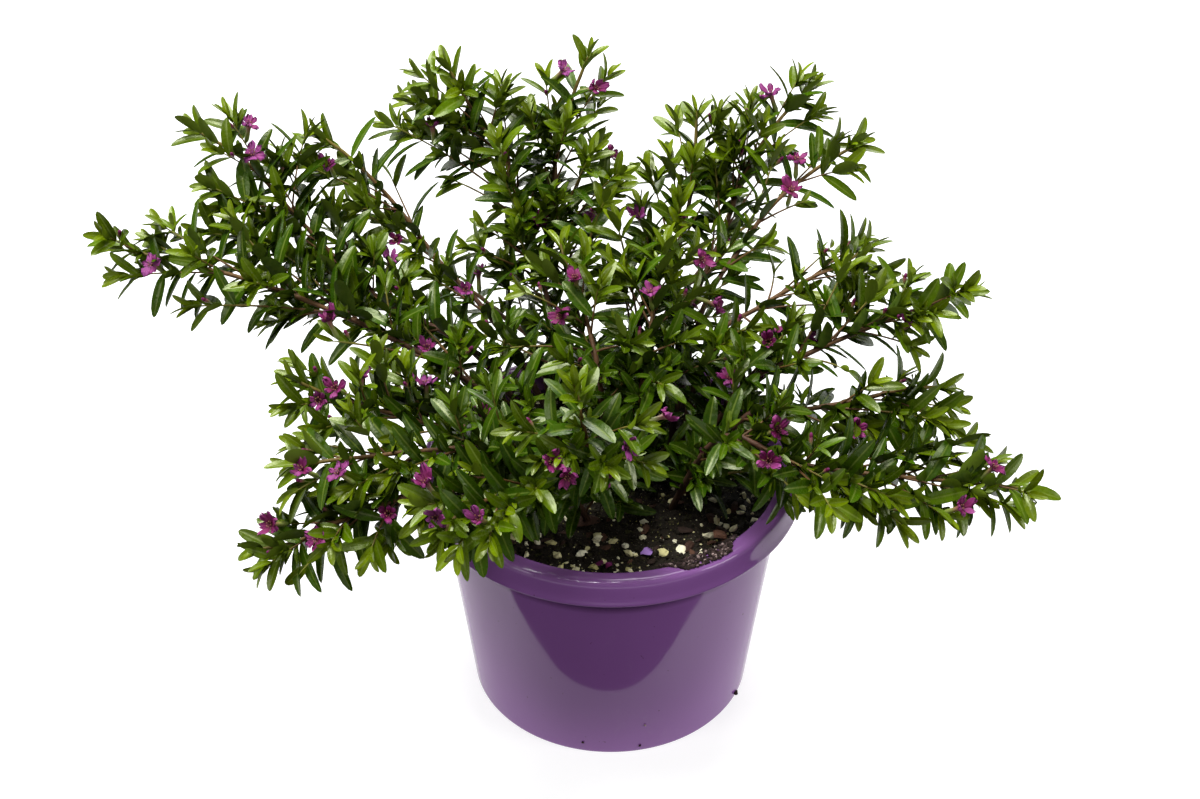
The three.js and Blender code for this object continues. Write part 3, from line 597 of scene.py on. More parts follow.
# Stems: the shrub's 21 thin woody stems, which branch low from the crown in the mix and spread out and over
# the rim, each with its side twigs.
#
# Lengths are millimetres. A stem rises from its foot in the mix through the bends of its path. A twig
# leaves it at a share of its length and ends at a point; the finer twigs are the ones too many for the
# solid model. Its fullness is the share of grown leaves that it still carries, and its shed shoots,
# numbered from 0 for the stem itself, have lost most of theirs. A bloom sits on a shoot, by its number,
# at a share of its length, turned by an angle in degrees round it.
STEMS = [
    dict(name="left_low", foot=(-16, 4), fullness=0.75, shed=(5,),
         path=[(-45, 8, 122), (-82, 13, 147), (-123, 18, 165), (-155, 22, 173), (-179, 24, 178)],
         twigs=[(0.59, -151, 10, 162), (0.57, -134, 40, 172), (0.74, -164, 34, 182), (0.80, -176, 14, 172),
                (0.40, -101, 0, 154)],
         finer_twigs=[(0.40, -98, 32, 154), (0.29, -78, 34, 148), (0.85, -167, 30, 177),
                      (0.66, -138, 38, 182), (0.54, -124, 40, 170), (0.46, -112, 38, 158),
                      (0.70, -135, 31, 165), (0.62, -123, 23, 160), (0.58, -116, 18, 154),
                      (0.60, -125, 16, 150), (0.70, -128, 7, 175), (0.95, -180, 15, 190),
                      (0.80, -150, 12, 184)],
         blooms=[(4, 0.55, 120), (5, 0.90, 60), (0, 0.40, 120)]),
    dict(name="left_high", foot=(-14, 12), fullness=0.8, shed=(),
         path=[(-49, 28, 126), (-86, 40, 144), (-114, 54, 168), (-135, 66, 188), (-155, 72, 199)],
         twigs=[(0.81, -142, 76, 203), (0.63, -151, 40, 174), (0.68, -124, 76, 187), (0.48, -93, 60, 155),
                (0.85, -145, 60, 197), (0.48, -117, 36, 167)],
         finer_twigs=[(0.68, -148, 50, 188), (0.57, -105, 66, 171), (0.37, -82, 56, 144),
                      (0.62, -133, 54, 176), (0.54, -105, 63, 160), (0.55, -113, 45, 158),
                      (0.72, -128, 70, 186), (0.76, -114, 86, 190), (0.77, -145, 48, 178),
                      (0.75, -122, 48, 184)],
         blooms=[(1, 0.30, 120), (1, 0.60, 80), (4, 0.45, 60)]),
    dict(name="up_left", foot=(-8, 16), fullness=0.5, shed=(2,),
         path=[(-42, 44, 127), (-65, 62, 146), (-82, 76, 163), (-98, 84, 178), (-111, 88, 187)],
         twigs=[(0.74, -115, 76, 180), (0.69, -85, 92, 167), (0.60, -98, 70, 166), (0.44, -70, 52, 147)],
         finer_twigs=[(0.66, -88, 71, 160), (0.78, -103, 80, 174), (0.59, -75, 52, 157),
                      (0.75, -97, 67, 166)],
         blooms=[(1, 0.70, 120), (3, 0.35, 160), (4, 0.30, 120)]),
    dict(name="top_left", foot=(-5, 22), fullness=0.7, shed=(4, 5),
         path=[(-24, 62, 128), (-34, 82, 154), (-40, 94, 171), (-51, 102, 185), (-63, 110, 205)],
         twigs=[(0.69, -73, 104, 195), (0.63, -86, 96, 187), (0.71, -42, 112, 196), (0.60, -63, 84, 170),
                (0.49, -50, 72, 156)],
         finer_twigs=[(0.80, -74, 108, 202), (0.58, -27, 100, 165), (0.76, -54, 108, 192),
                      (0.44, -20, 84, 148), (0.65, -35, 110, 184), (0.66, -76, 98, 184),
                      (0.70, -59, 94, 182), (0.56, -43, 83, 188), (0.50, -41, 77, 176),
                      (0.76, -79, 110, 188), (0.76, -66, 96, 191), (0.91, -53, 109, 199),
                      (0.81, -41, 105, 195), (0.55, -34, 71, 163), (0.88, -57, 92, 205),
                      (0.46, -55, 65, 150)],
         blooms=[(2, 0.65, 80), (0, 0.55, 60)]),
    dict(name="top", foot=(3, 20), fullness=0.62, shed=(),
         path=[(-15, 66, 130), (-21, 86, 151), (-21, 98, 173), (-15, 108, 190), (-8, 114, 207)],
         twigs=[(0.71, -25, 112, 198), (0.76, 0, 116, 197), (0.63, -31, 102, 188), (0.56, -5, 104, 174),
                (0.50, 3, 92, 161)],
         finer_twigs=[(0.69, -4, 112, 185), (0.58, -21, 108, 185), (0.58, -6, 78, 186),
                      (0.42, -2, 66, 172), (0.56, 4, 72, 180), (0.72, -16, 93, 190)],
         blooms=[(1, 0.90, 20), (0, 0.90, 340), (5, 0.40, 60), (4, 0.80, 340)]),
    dict(name="top_right", foot=(9, 18), fullness=0.65, shed=(2,),
         path=[(11, 48, 130), (23, 66, 143), (29, 78, 157), (32, 92, 170), (33, 104, 188)],
         twigs=[(0.75, 42, 104, 188), (0.76, 25, 102, 185), (0.60, 14, 88, 172), (0.51, 11, 78, 163)],
         finer_twigs=[(0.60, 44, 92, 170), (0.45, 18, 60, 157), (0.40, 2, 56, 168), (0.32, 4, 38, 152),
                      (0.60, 26, 65, 172), (0.31, 22, 30, 160), (0.74, 31, 84, 180), (0.62, 25, 63, 163),
                      (0.67, 22, 92, 176)],
         blooms=[(4, 0.65, 120)]),
    dict(name="up_right", foot=(15, 16), fullness=0.62, shed=(),
         path=[(29, 46, 130), (43, 72, 153), (52, 88, 171), (64, 100, 185), (78, 110, 196)],
         twigs=[(0.72, 54, 108, 190), (0.83, 73, 114, 198), (0.76, 80, 102, 188), (0.53, 40, 84, 169)],
         finer_twigs=[(0.65, 47, 98, 182), (0.60, 63, 90, 174), (0.66, 53, 101, 187), (0.58, 39, 85, 178),
                      (0.72, 44, 87, 182), (0.77, 57, 85, 193)],
         blooms=[(2, 0.35, 120)]),
    dict(name="right_high", foot=(18, 10), fullness=0.5, shed=(2, 4),
         path=[(33, 36, 138), (48, 56, 155), (61, 68, 168), (78, 78, 178), (95, 84, 186)],
         twigs=[(0.76, 86, 88, 184), (0.69, 75, 64, 173), (0.82, 90, 74, 180), (0.56, 59, 50, 164)],
         finer_twigs=[(0.63, 63, 86, 181), (0.10, 50, 28, 107)],
         blooms=[(1, 0.30, 100), (2, 0.55, 80)]),
    dict(name="right_mid", foot=(21, 4), fullness=0.45, shed=(1, 2),
         path=[(35, 18, 136), (56, 32, 147), (73, 40, 153), (87, 46, 157), (97, 52, 160)],
         twigs=[(0.71, 83, 54, 159), (0.68, 61, 50, 150), (0.60, 58, 14, 142)],
         finer_twigs=[(0.80, 102, 40, 156), (0.80, 94, 56, 160), (0.64, 86, 26, 151), (0.22, 42, 18, 130),
                      (0.50, 49, 21, 140), (0.82, 92, 35, 165), (0.43, 42, 8, 148), (0.30, 55, 5, 118),
                      (0.70, 72, 26, 157), (0.49, 52, 12, 151)],
         blooms=[(3, 0.85, 60)]),
    dict(name="right", foot=(23, -1), fullness=0.75, shed=(3,),
         path=[(45, 4, 127), (69, 8, 141), (90, 14, 148), (112, 20, 154), (132, 24, 159)],
         twigs=[(0.76, 111, 34, 159), (0.71, 110, 2, 149), (0.56, 83, -6, 146), (0.49, 66, 22, 143)],
         finer_twigs=[(0.64, 91, 28, 152), (0.40, 67, 16, 152), (0.54, 85, 28, 168), (0.62, 97, 19, 164),
                      (0.66, 105, 12, 160), (0.62, 90, 32, 160), (0.14, 44, -4, 113), (0.89, 127, 11, 169),
                      (0.76, 109, 5, 160), (0.80, 116, 5, 163)],
         blooms=[(4, 0.35, 120), (0, 0.38, 80), (4, 0.60, 0), (2, 0.55, 120)]),
    dict(name="right_low", foot=(22, -7), fullness=0.72, shed=(),
         path=[(47, -12, 128), (71, -10, 131), (90, -8, 134), (108, -4, 136), (123, 0, 133)],
         twigs=[(0.80, 106, 4, 136), (0.75, 124, -10, 131), (0.64, 105, -16, 126), (0.55, 85, -20, 127)],
         finer_twigs=[(0.64, 114, -28, 140), (0.80, 121, -24, 132), (0.65, 92, -24, 132),
                      (0.14, 38, -20, 112), (0.43, 58, -28, 136), (0.70, 93, -16, 148)],
         blooms=[(4, 0.85, 60)]),
    dict(name="right_front", foot=(17, -13), fullness=0.85, shed=(6,),
         path=[(38, -26, 130), (63, -38, 129), (87, -44, 129), (114, -48, 129), (144, -50, 127)],
         twigs=[(0.80, 136, -38, 129), (0.83, 140, -60, 125), (0.69, 116, -62, 123), (0.63, 128, -28, 131),
                (0.58, 101, -64, 121), (0.39, 65, -56, 127), (0.39, 80, -24, 126)],
         finer_twigs=[(0.54, 97, -62, 132), (0.45, 78, -56, 133), (0.58, 111, -30, 129),
                      (0.74, 129, -56, 127), (0.70, 104, -43, 130), (0.58, 88, -55, 122),
                      (0.74, 120, -35, 128), (0.12, 30, -14, 114), (0.14, 36, -24, 111),
                      (0.18, 54, -22, 113), (0.93, 143, -64, 136), (0.52, 75, -69, 133)],
         blooms=[(0, 0.90, 100), (3, 0.90, 100), (7, 0.25, 60), (6, 0.45, 60)]),
    dict(name="left_mid", foot=(-18, -5), fullness=0.65, shed=(1, 4),
         path=[(-40, -16, 122), (-65, -20, 132), (-84, -24, 142), (-100, -26, 150), (-112, -26, 157)],
         twigs=[(0.80, -110, -20, 159), (0.82, -113, -36, 152), (0.54, -82, 0, 139), (0.75, -103, -20, 152)],
         finer_twigs=[(0.68, -102, -44, 148), (0.50, -75, -44, 144), (0.44, -82, 7, 138),
                      (0.34, -64, 8, 134), (0.50, -88, 2, 130), (0.66, -93, -8, 132), (0.50, -81, -1, 128),
                      (0.70, -82, -15, 160), (0.62, -74, -11, 151), (0.78, -88, -27, 160)],
         blooms=[(2, 0.45, 140), (1, 0.25, 140), (3, 0.35, 60), (0, 0.45, 100), (4, 0.25, 60)]),
    dict(name="left_front", foot=(-16, -11), fullness=0.8, shed=(1, 2),
         path=[(-39, -34, 129), (-63, -44, 139), (-82, -52, 143), (-98, -56, 144), (-111, -58, 143)],
         twigs=[(0.80, -110, -66, 137), (0.77, -104, -48, 146), (0.64, -89, -68, 141)],
         finer_twigs=[(0.55, -77, -62, 141), (0.86, -109, -50, 146), (0.76, -90, -44, 157)],
         blooms=[(1, 0.60, 90), (3, 0.90, 60)]),
    dict(name="front_left", foot=(-11, -15), fullness=0.8, shed=(2,),
         path=[(-40, -44, 125), (-64, -58, 132), (-90, -68, 129), (-108, -74, 123), (-123, -76, 121)],
         twigs=[(0.82, -119, -82, 118), (0.73, -106, -86, 119), (0.67, -82, -84, 125),
                (0.80, -114, -68, 126), (0.49, -65, -76, 135)],
         finer_twigs=[(0.64, -98, -60, 134), (0.66, -99, -58, 128), (0.62, -98, -66, 122),
                      (0.76, -103, -61, 126), (0.77, -95, -84, 130), (0.66, -77, -72, 118)],
         blooms=[(3, 0.20, 120), (2, 0.50, 100), (4, 0.80, 140)]),
    dict(name="front", foot=(-4, -17), fullness=0.8, shed=(),
         path=[(-18, -40, 121), (-34, -58, 132), (-46, -72, 138), (-54, -82, 139), (-58, -88, 132)],
         twigs=[(0.77, -52, -94, 135), (0.70, -41, -92, 137), (0.77, -66, -76, 141)],
         finer_twigs=[(0.61, -36, -82, 142), (0.59, -48, -60, 143), (0.50, -26, -70, 143)],
         blooms=[(2, 0.65, 60), (3, 0.60, 180), (3, 0.65, 60)]),
    dict(name="centre_front", foot=(2, -10), fullness=0.9, shed=(),
         path=[(-4, -28, 117), (-8, -42, 140), (-10, -46, 152), (-11, -48, 162), (-13, -48, 171)],
         twigs=[(0.69, -33, -52, 154), (0.72, 11, -54, 159), (0.65, -1, -66, 148), (0.69, -18, -62, 151),
                (0.51, -25, -58, 146)],
         finer_twigs=[(0.60, 13, -58, 144)],
         blooms=[(2, 0.95, 200), (2, 0.60, 320), (3, 0.20, 260), (5, 0.95, 160), (4, 0.95, 220)]),
    dict(name="centre", foot=(0, 3), fullness=0.8, shed=(1,),
         path=[(-4, 8, 128), (-8, 22, 143), (-13, 34, 153), (-17, 42, 160), (-19, 48, 165)],
         twigs=[(0.69, -33, 30, 155), (0.60, -41, 14, 140), (0.73, 0, 30, 155)],
         finer_twigs=[(0.60, 10, 10, 145), (0.51, -18, -2, 147), (0.77, -8, 44, 164), (0.77, -28, 42, 158),
                      (0.66, -4, 22, 165), (0.45, -52, 34, 134)],
         blooms=[(1, 0.20, 160), (0, 0.80, 100), (2, 0.90, 240)]),
    dict(name="centre_right", foot=(10, 5), fullness=0.9, shed=(),
         path=[(11, 6, 130), (14, 16, 143), (16, 28, 152), (19, 38, 161), (21, 44, 168)],
         twigs=[(0.68, 33, 30, 155), (0.60, 30, 12, 146), (0.82, 33, 44, 164)],
         finer_twigs=[(0.73, 5, 36, 160), (0.60, 3, 14, 149), (0.51, 19, -8, 140), (0.70, -1, 43, 160),
                      (0.14, 24, -6, 113), (0.46, 47, 17, 136)],
         blooms=[(0, 0.75, 100), (3, 0.60, 20), (1, 0.85, 320)]),
    dict(name="back", foot=(6, 27), fullness=0.25, shed=(0, 2),
         path=[(16, 54, 114), (30, 80, 122), (44, 98, 129), (56, 112, 131)],
         twigs=[(0.52, 14, 94, 128), (0.66, 62, 92, 134)],
         finer_twigs=[(0.74, 50, 118, 140), (0.45, 46, 74, 112), (0.14, 8, 50, 108), (0.10, 32, 36, 108),
                      (0.30, 4, 43, 115)],
         blooms=[(0, 0.80, 60), (1, 0.80, 120)]),
    dict(name="back_left", foot=(-18, 26), fullness=0.6, shed=(1,),
         path=[(-28, 50, 112), (-42, 66, 118), (-55, 78, 122), (-68, 86, 122)],
         twigs=[(0.50, -38, 90, 118)],
         finer_twigs=[(0.62, -70, 66, 112), (0.80, -84, 78, 116), (0.45, -20, 72, 104),
                      (0.62, -38, 80, 146), (0.14, -22, 44, 108)],
         blooms=[(0, 0.80, 60)]),
]

# Seeded draws between 0 and 1, the same ones that place the solid plant's blooms and leaves. The solid
# model's first draws place twelve grains on its mix, two draws each.
GRAIN_DRAWS = 24
draw_state = 2026


def draw():
    """The next number of a linear congruential sequence, divided down to between 0 and 1."""
    global draw_state
    draw_state = (draw_state * 1664525 + 1013904223) % 4294967296
    return draw_state / 4294967296


for _ in range(GRAIN_DRAWS):
    draw()

UP = np.array([0.0, 0.0, 1.0])


def unit(vector):
    """A vector, or each row of an array of them, at length 1."""
    return vector / np.linalg.norm(vector, axis=-1, keepdims=True)


def smooth_path(points, steps=12):
    """A dense polyline through the points: Catmull-Rom with each end reflected."""
    points = np.asarray(points, float)
    ends = np.vstack([2 * points[0] - points[1], points, 2 * points[-1] - points[-2]])
    t = np.linspace(0, 1, steps, endpoint=False)[:, None]
    runs = []
    for a, b, c, d in zip(ends, ends[1:], ends[2:], ends[3:]):
        runs.append(b + 0.5 * t * (c - a) + t**2 * (a - 2.5 * b + 2 * c - 0.5 * d)
                    + t**3 * (-0.5 * a + 1.5 * b - 1.5 * c + 0.5 * d))
    return np.vstack(runs + [points[-1:]])


class Shoot:
    """A stem or twig: a polyline with its wood's radius at each end, in millimetres."""

    def __init__(self, points, start_radius, end_radius):
        self.points = np.asarray(points, float)
        steps = np.linalg.norm(np.diff(self.points, axis=0), axis=1)
        self.lengths = np.concatenate([[0.0], np.cumsum(steps)])
        self.total = self.lengths[-1]
        self.radii = (start_radius, end_radius)

    def at(self, share):
        """The point at a share of the length."""
        return np.array([np.interp(share * self.total, self.lengths, column) for column in self.points.T])

    def along(self, share):
        """The direction of growth at a share of the length."""
        return unit(self.at(min(1, share + 0.02)) - self.at(max(0, share - 0.02)))

    def radius(self, share):
        """The wood's radius at a share of the length."""
        return self.radii[0] + (self.radii[1] - self.radii[0]) * share


def out_of(along, turn):
    """The direction out of a shoot at a turn in degrees round it, from its level side."""
    side = np.cross(along, UP)
    if np.linalg.norm(side) < 0.2:
        side = np.array([1.0, 0.0, 0.0])
    side = unit(side - along * side.dot(along))
    upper = np.cross(side, along)
    return side * math.cos(math.radians(turn)) + upper * math.sin(math.radians(turn))


def twig_shoot(stem, twig):
    """A twig from the stem to its own tip: a straight run, plus a bow along the stem and up times
    2t(1 - t)."""
    share, *tip = twig
    start, tip = stem.at(share), np.array(tip, float)
    run = tip - start
    bow = 0.10 * np.linalg.norm(run) * unit(stem.along(share) + 0.3 * UP)
    t = np.linspace(0, 1, 11)[:, None]
    thick = 0.5 * stem.radius(share)
    return Shoot(start + run * t + bow * (t * (1 - t)) * 2, thick, 0.6 * thick)


def leaf_sites(shoot, bare_length, from_tip=1.5, pair=0):
    """The leaves of a shoot: opposite pairs, each pair turned a quarter from the last, close and small at
    the tip and wider apart and larger down the shoot. Each leaf's row holds its root, the shoot's
    direction, the way out of it, the spread and roll angles, the length and the age from 0 to 1."""
    phase = 20 + 50 * draw()
    sites = []
    while from_tip < shoot.total - bare_length:
        share = 1 - from_tip / shoot.total
        along = shoot.along(share)
        grown = min(1.0, pair / 4)
        for side in (0, 180):
            length = (8.0 + 9.0 * grown**0.8) * (0.85 + 0.3 * draw())
            spread = math.radians(22 + 42 * grown + 26 * (draw() - 0.5))
            roll = 0.95 * (draw() - 0.5)
            out = out_of(along, phase + 90 * pair + side)
            root = shoot.at(share) + out * shoot.radius(share) * 0.7
            sites.append((root, along, out, spread, roll, length, min(1.0, from_tip / 26)))
        from_tip += 2.4 + 3.2 * grown
        pair += 1
    return sites


def axil_tufts(sites, random):
    """Tufts in the axils of about a quarter of the grown leaves: a shoot too short to see, with two
    opposite pairs of young leaves 4 to 9 mm long that lean out of the joint and up."""
    tufts = []
    for root, along, out, _, _, _, age in sites:
        if age < 0.2 or random.uniform(0, 1) > 0.26:
            continue
        run = unit(0.8 * along + 0.75 * out + 0.25 * UP)
        phase = random.uniform(0, 90)
        for pair in range(2):
            for side in (0, 180):
                tufts.append((
                    root + run * (1.0 + 2.0 * pair), run, out_of(run, phase + 90 * pair + side),
                    math.radians(random.uniform(26, 50) - 8 * pair), random.uniform(-0.5, 0.5),
                    (8.0 - 2.2 * pair) * random.uniform(0.75, 1.1), 0.30 - 0.15 * pair,
                ))
    return tufts


def side_shoots(stem, random):
    """Short leafy shoots from the leaf joints of a stem's middle, which fill the shrub's inside. Each grows
    out and up for 12 to 26 mm; one that would end low over the rim is left out."""
    shoots = []
    for share in np.arange(0.20, 0.56, 0.07):
        start = stem.at(share)
        along = stem.along(share)
        run = unit(out_of(along, random.uniform(0, 360)) + 0.7 * along + 0.55 * UP)
        length = random.uniform(12, 26)
        t = np.linspace(0, 1, 6)[:, None]
        points = start + run * length * t + UP * 0.06 * length * t**2
        if np.hypot(points[-1, 0], points[-1, 1]) > 52 and points[-1, 2] < 112:
            continue
        shoots.append(Shoot(points, 0.4 * stem.radius(share), 0.25 * stem.radius(share)))
    return shoots


# Leaf: a stiff glossy lance-shaped blade 7 to 20 mm long, dark green when grown and yellow-green at the
# shoot's tip, folded a little along a sunken paler midrib and arched back. Its underside is paler and dull.
toned, taken, given = shader_group("toned", [
    ("Color", "NodeSocketColor"), ("Tone", "NodeSocketFloat"), ("Darkest", "NodeSocketFloat"),
    ("Lightest", "NodeSocketFloat"),
], ("Color", "NodeSocketColor"))
strength = node(toned, "ShaderNodeMapRange")
for key, end in (("Tone", "Value"), ("Darkest", "To Min"), ("Lightest", "To Max")):
    toned.links.new(taken.outputs[key], strength.inputs[end])
lit = node(toned, "ShaderNodeHueSaturation")
toned.links.new(taken.outputs["Color"], lit.inputs["Color"])
toned.links.new(strength.outputs["Result"], lit.inputs["Value"])
toned.links.new(lit.outputs["Color"], given.inputs["Color"])


def shaded(tree, color, tone, darkest, lightest):
    """The toned group placed in a material: a colour made darker or lighter by each leaf's or bloom's own
    tone from 0 to 1."""
    made = node(tree, "ShaderNodeGroup", node_tree=toned, Darkest=darkest, Lightest=lightest)
    tree.links.new(color, made.inputs["Color"])
    tree.links.new(tone, made.inputs["Tone"])
    return made.outputs["Color"]


def uv_axis(tree, axis):
    """One axis of the piece's own UV map: X across a leaf or petal, Y along it."""
    split = node(tree, "ShaderNodeSeparateXYZ")
    tree.links.new(node(tree, "ShaderNodeUVMap", uv_map="UVMap").outputs["UV"], split.inputs["Vector"])
    return split.outputs[axis]


leaf_face, tree, shader = new_material("leaf_face")
# The age of the leaves low inside the shrub also carries painted shade, so this ramp darkens them.
green = ramp(tree, own_value(tree, "age"), [
    (0.0, (0.114, 0.156, 0.001)), (0.25, (0.068, 0.110, 0.0008)), (0.6, (0.027, 0.066, 0.0006)),
    (1.0, (0.0135, 0.039, 0.0006)),
])
green = shaded(tree, green, own_value(tree, "tone"), 0.66, 1.33)
green = blotched(tree, green, (0.039, 0.062, 0.001), grain(tree, 350.0), 0.35, 0.7, 0.45)
off_middle = node(tree, "ShaderNodeMath", operation="SUBTRACT")
tree.links.new(uv_axis(tree, "X"), off_middle.inputs[0])
off_middle.inputs[1].default_value = 0.5
beside = node(tree, "ShaderNodeMath", operation="ABSOLUTE")
tree.links.new(off_middle.outputs[0], beside.inputs[0])
midrib = ranged(tree, beside.outputs[0], 0.02, 0.09, 0.55, 0.0)
green = mixed(tree, midrib, green, (0.13, 0.17, 0.03))
# The gloss fades where a leaf is seen edge on, so that the white room doesn't grey it.
facing = node(tree, "ShaderNodeLayerWeight").outputs["Facing"]
finished(tree, shader, green, ranged(tree, grain(tree, 500.0), 0.3, 0.7, 0.17, 0.36),
         ranged(tree, facing, 0.45, 0.8, 0.31, 0.0))
shader.inputs["Specular Tint"].default_value = (0.95, 1.0, 0.66, 1.0)
bumped(tree, shader, grain(tree, 900.0, 2.0), 0.25, 0.0003)

leaf_back, tree, shader = new_material("leaf_back")
# As on the face, the age of the leaves low inside the shrub also carries painted shade here.
pale = ramp(tree, own_value(tree, "age"), [(0.0, (0.097, 0.142, 0.005)), (1.0, (0.030, 0.055, 0.003))])
pale = blotched(tree, pale, (0.074, 0.101, 0.010), grain(tree, 420.0), 0.4, 0.7, 0.4)
facing = node(tree, "ShaderNodeLayerWeight").outputs["Facing"]
finished(tree, shader, pale, 0.6, ranged(tree, facing, 0.4, 0.75, 0.2, 0.0))
bumped(tree, shader, grain(tree, 900.0, 2.0), 0.3, 0.0003)

# Wood: the stems and twigs, half a millimetre to 3 mm thick and a little swollen at the leaf joints. Their
# rind is streaked red-brown below, red-tinged further up and yellow-green at the growing tips.
stem_wood, tree, shader = new_material("stem_wood")
rind = ramp(tree, own_value(tree, "age"), [
    (0.0, (0.150, 0.170, 0.012)), (0.3, (0.120, 0.062, 0.014)), (0.6, (0.070, 0.028, 0.012)),
    (1.0, (0.022, 0.014, 0.008)),
])
streaks = grain(tree, 700.0, 4.0, stretch=(1.0, 1.0, 0.3))
rind = blotched(tree, rind, (0.03, 0.016, 0.010), streaks, 0.35, 0.7, 0.5)
finished(tree, shader, rind, 0.62, 0.25)
bumped(tree, shader, streaks, 0.6, 0.0005)

# The blade's outline: its half width at each share of its length.
BLADE_STATIONS = np.array([0.0, 0.08, 0.22, 0.42, 0.63, 0.82, 0.95, 1.0])
BLADE_WIDTHS = np.array([0.16, 0.50, 0.86, 1.0, 0.98, 0.78, 0.43, 0.06])
BLADE_SIDES = np.array([-1.0, -0.5, 0.0, 0.5, 1.0])
# The material numbers of a leafy piece's faces.
FACE, BACK, WOOD = 0, 1, 2
# Leaves twist a little towards the light, which comes from above and from the front.
LIGHTWARD = np.array([0.0, -0.55, 0.1])


def sheet_faces(rows, columns):
    """The four-cornered faces of a sheet of rows and columns of points."""
    row, column = np.meshgrid(np.arange(rows - 1), np.arange(columns - 1), indexing="ij")
    near = row * columns + column
    return np.stack([near, near + columns, near + columns + 1, near + 1], axis=2).reshape(-1, 4)


def leaf_blades(sites, random):
    """Points, faces, uv, age, tone and face materials of many leaves. A blade's point is its root, plus
    its run times the length times the station u, plus its across direction times the half width, plus its
    face direction times a lift: an arch bend*(0.12u - 0.2u*u) and a fold that is a little lower at the
    midrib. The back is a second sheet just under it."""
    root, along, out = (np.array([site[i] for site in sites]) for i in range(3))
    spread, roll, length, age = (np.array([site[i] for site in sites])[:, None] for i in range(3, 7))
    run = along * np.cos(spread) + out * np.sin(spread)
    face = along * np.sin(spread) - out * np.cos(spread) + 1.1 * UP + LIGHTWARD
    face = unit(face - run * np.sum(face * run, axis=1, keepdims=True))
    face = face * np.cos(roll) + np.cross(run, face) * np.sin(roll)
    across = np.cross(face, run)
    count = len(sites)
    # Leaves low inside the shrub are given more age. This narrows them, and it darkens them as painted
    # shade.
    painted_shade_depth = np.clip((80 - np.hypot(root[:, 0], root[:, 1])) / 50, 0, 1)
    painted_shade_depth *= np.clip((160 - root[:, 2]) / 50, 0, 1)
    age = np.clip(age + 0.45 * painted_shade_depth[:, None], 0, 1)
    half_width = length * (0.160 - 0.038 * age) * random.uniform(0.85, 1.15, (count, 1))
    bend = random.uniform(0.5, 1.6, (count, 1, 1))
    sway = random.uniform(-0.06, 0.06, (count, 1, 1))
    u = BLADE_STATIONS[None, :, None]
    v = BLADE_SIDES[None, None, :]
    width = (BLADE_WIDTHS[None, :, None] * half_width[:, :, None]) * np.ones_like(v)
    length = length[:, :, None]
    outward = length * u * np.ones_like(v) - 0.2
    sideways = width * v + length * sway * u**2
    lift = length * bend * (0.12 * u - 0.2 * u**2) + width * (0.48 * np.abs(v) - 0.2 * v**2)
    under = lift - 0.22 * (1 - np.abs(v)) * BLADE_WIDTHS[None, :, None] - 0.03

    def placed(height):
        return (root[:, None, None] + run[:, None, None] * outward[..., None]
                + across[:, None, None] * sideways[..., None] + face[:, None, None] * height[..., None])

    upper = placed(lift).reshape(count, -1, 3)
    lower = placed(under)[:, :, ::2].reshape(count, -1, 3)
    points = np.concatenate([upper, lower], axis=1)
    stations, sides = len(BLADE_STATIONS), len(BLADE_SIDES)
    top_faces = sheet_faces(stations, sides)
    # The back has every other point across, and its faces turn the other way round.
    back_faces = stations * sides + sheet_faces(stations, 3)[:, [0, 3, 2, 1]]
    one = np.concatenate([top_faces, back_faces])
    per_leaf = points.shape[1]
    faces = copied_faces(one, count, per_leaf)
    side_share = (BLADE_SIDES + 1) / 2
    uv_top = np.stack(np.meshgrid(side_share, BLADE_STATIONS), axis=2).reshape(-1, 2)
    uv_back = np.stack(np.meshgrid(side_share[::2], BLADE_STATIONS), axis=2).reshape(-1, 2)
    uv = np.tile(np.concatenate([uv_top, uv_back]), (count, 1))
    is_back = np.tile(np.arange(len(one)) >= len(top_faces), count)
    tone = np.repeat(random.uniform(0, 1, count), per_leaf)
    kinds = np.where(is_back, BACK, FACE)
    return points.reshape(-1, 3), faces, uv, np.repeat(age[:, 0], per_leaf), tone, kinds


def wood_tube(shoot, steps, sides, old_start, old_end):
    """Points, faces, uv and age of a shoot's wood: rings of the shoot's radius round its line, slightly
    swollen at every other ring as at a leaf joint, and narrowed to a quarter of its radius at the tip."""
    shares = np.linspace(0, 1, steps)
    centres = np.array([shoot.at(share) for share in shares])
    along = np.array([shoot.along(share) for share in shares])
    side = np.cross(along, UP)
    side = np.where(np.linalg.norm(side, axis=1, keepdims=True) < 0.2, [1.0, 0.0, 0.0], side)
    side = unit(side - along * np.sum(side * along, axis=1, keepdims=True))
    upper = np.cross(side, along)
    angle = np.linspace(0, 2 * np.pi, sides, endpoint=False)
    swell = np.where(np.arange(steps) % 2 == 1, 1.08, 0.96)
    swell[-1] = 0.25
    radius = (shoot.radius(shares) * swell)[:, None, None]
    rings = centres[:, None] + radius * (
        side[:, None] * np.cos(angle)[None, :, None] + upper[:, None] * np.sin(angle)[None, :, None])
    uv = np.stack(np.meshgrid(angle / (2 * np.pi), shares), axis=2).reshape(-1, 2)
    age = np.repeat(old_start + (old_end - old_start) * shares, sides)
    return rings.reshape(-1, 3), tube_faces(steps, sides), uv, age


def joined(parts):
    """Parts of points, faces and further arrays put together, each part's faces counted on from the
    points of the parts before it."""
    starts = np.cumsum([0] + [len(part[0]) for part in parts[:-1]])
    faces = np.concatenate([part[1] + start for part, start in zip(parts, starts)])
    points, *others = (np.concatenate([part[i] for part in parts]) for i in range(len(parts[0])) if i != 1)
    return points, faces, *others


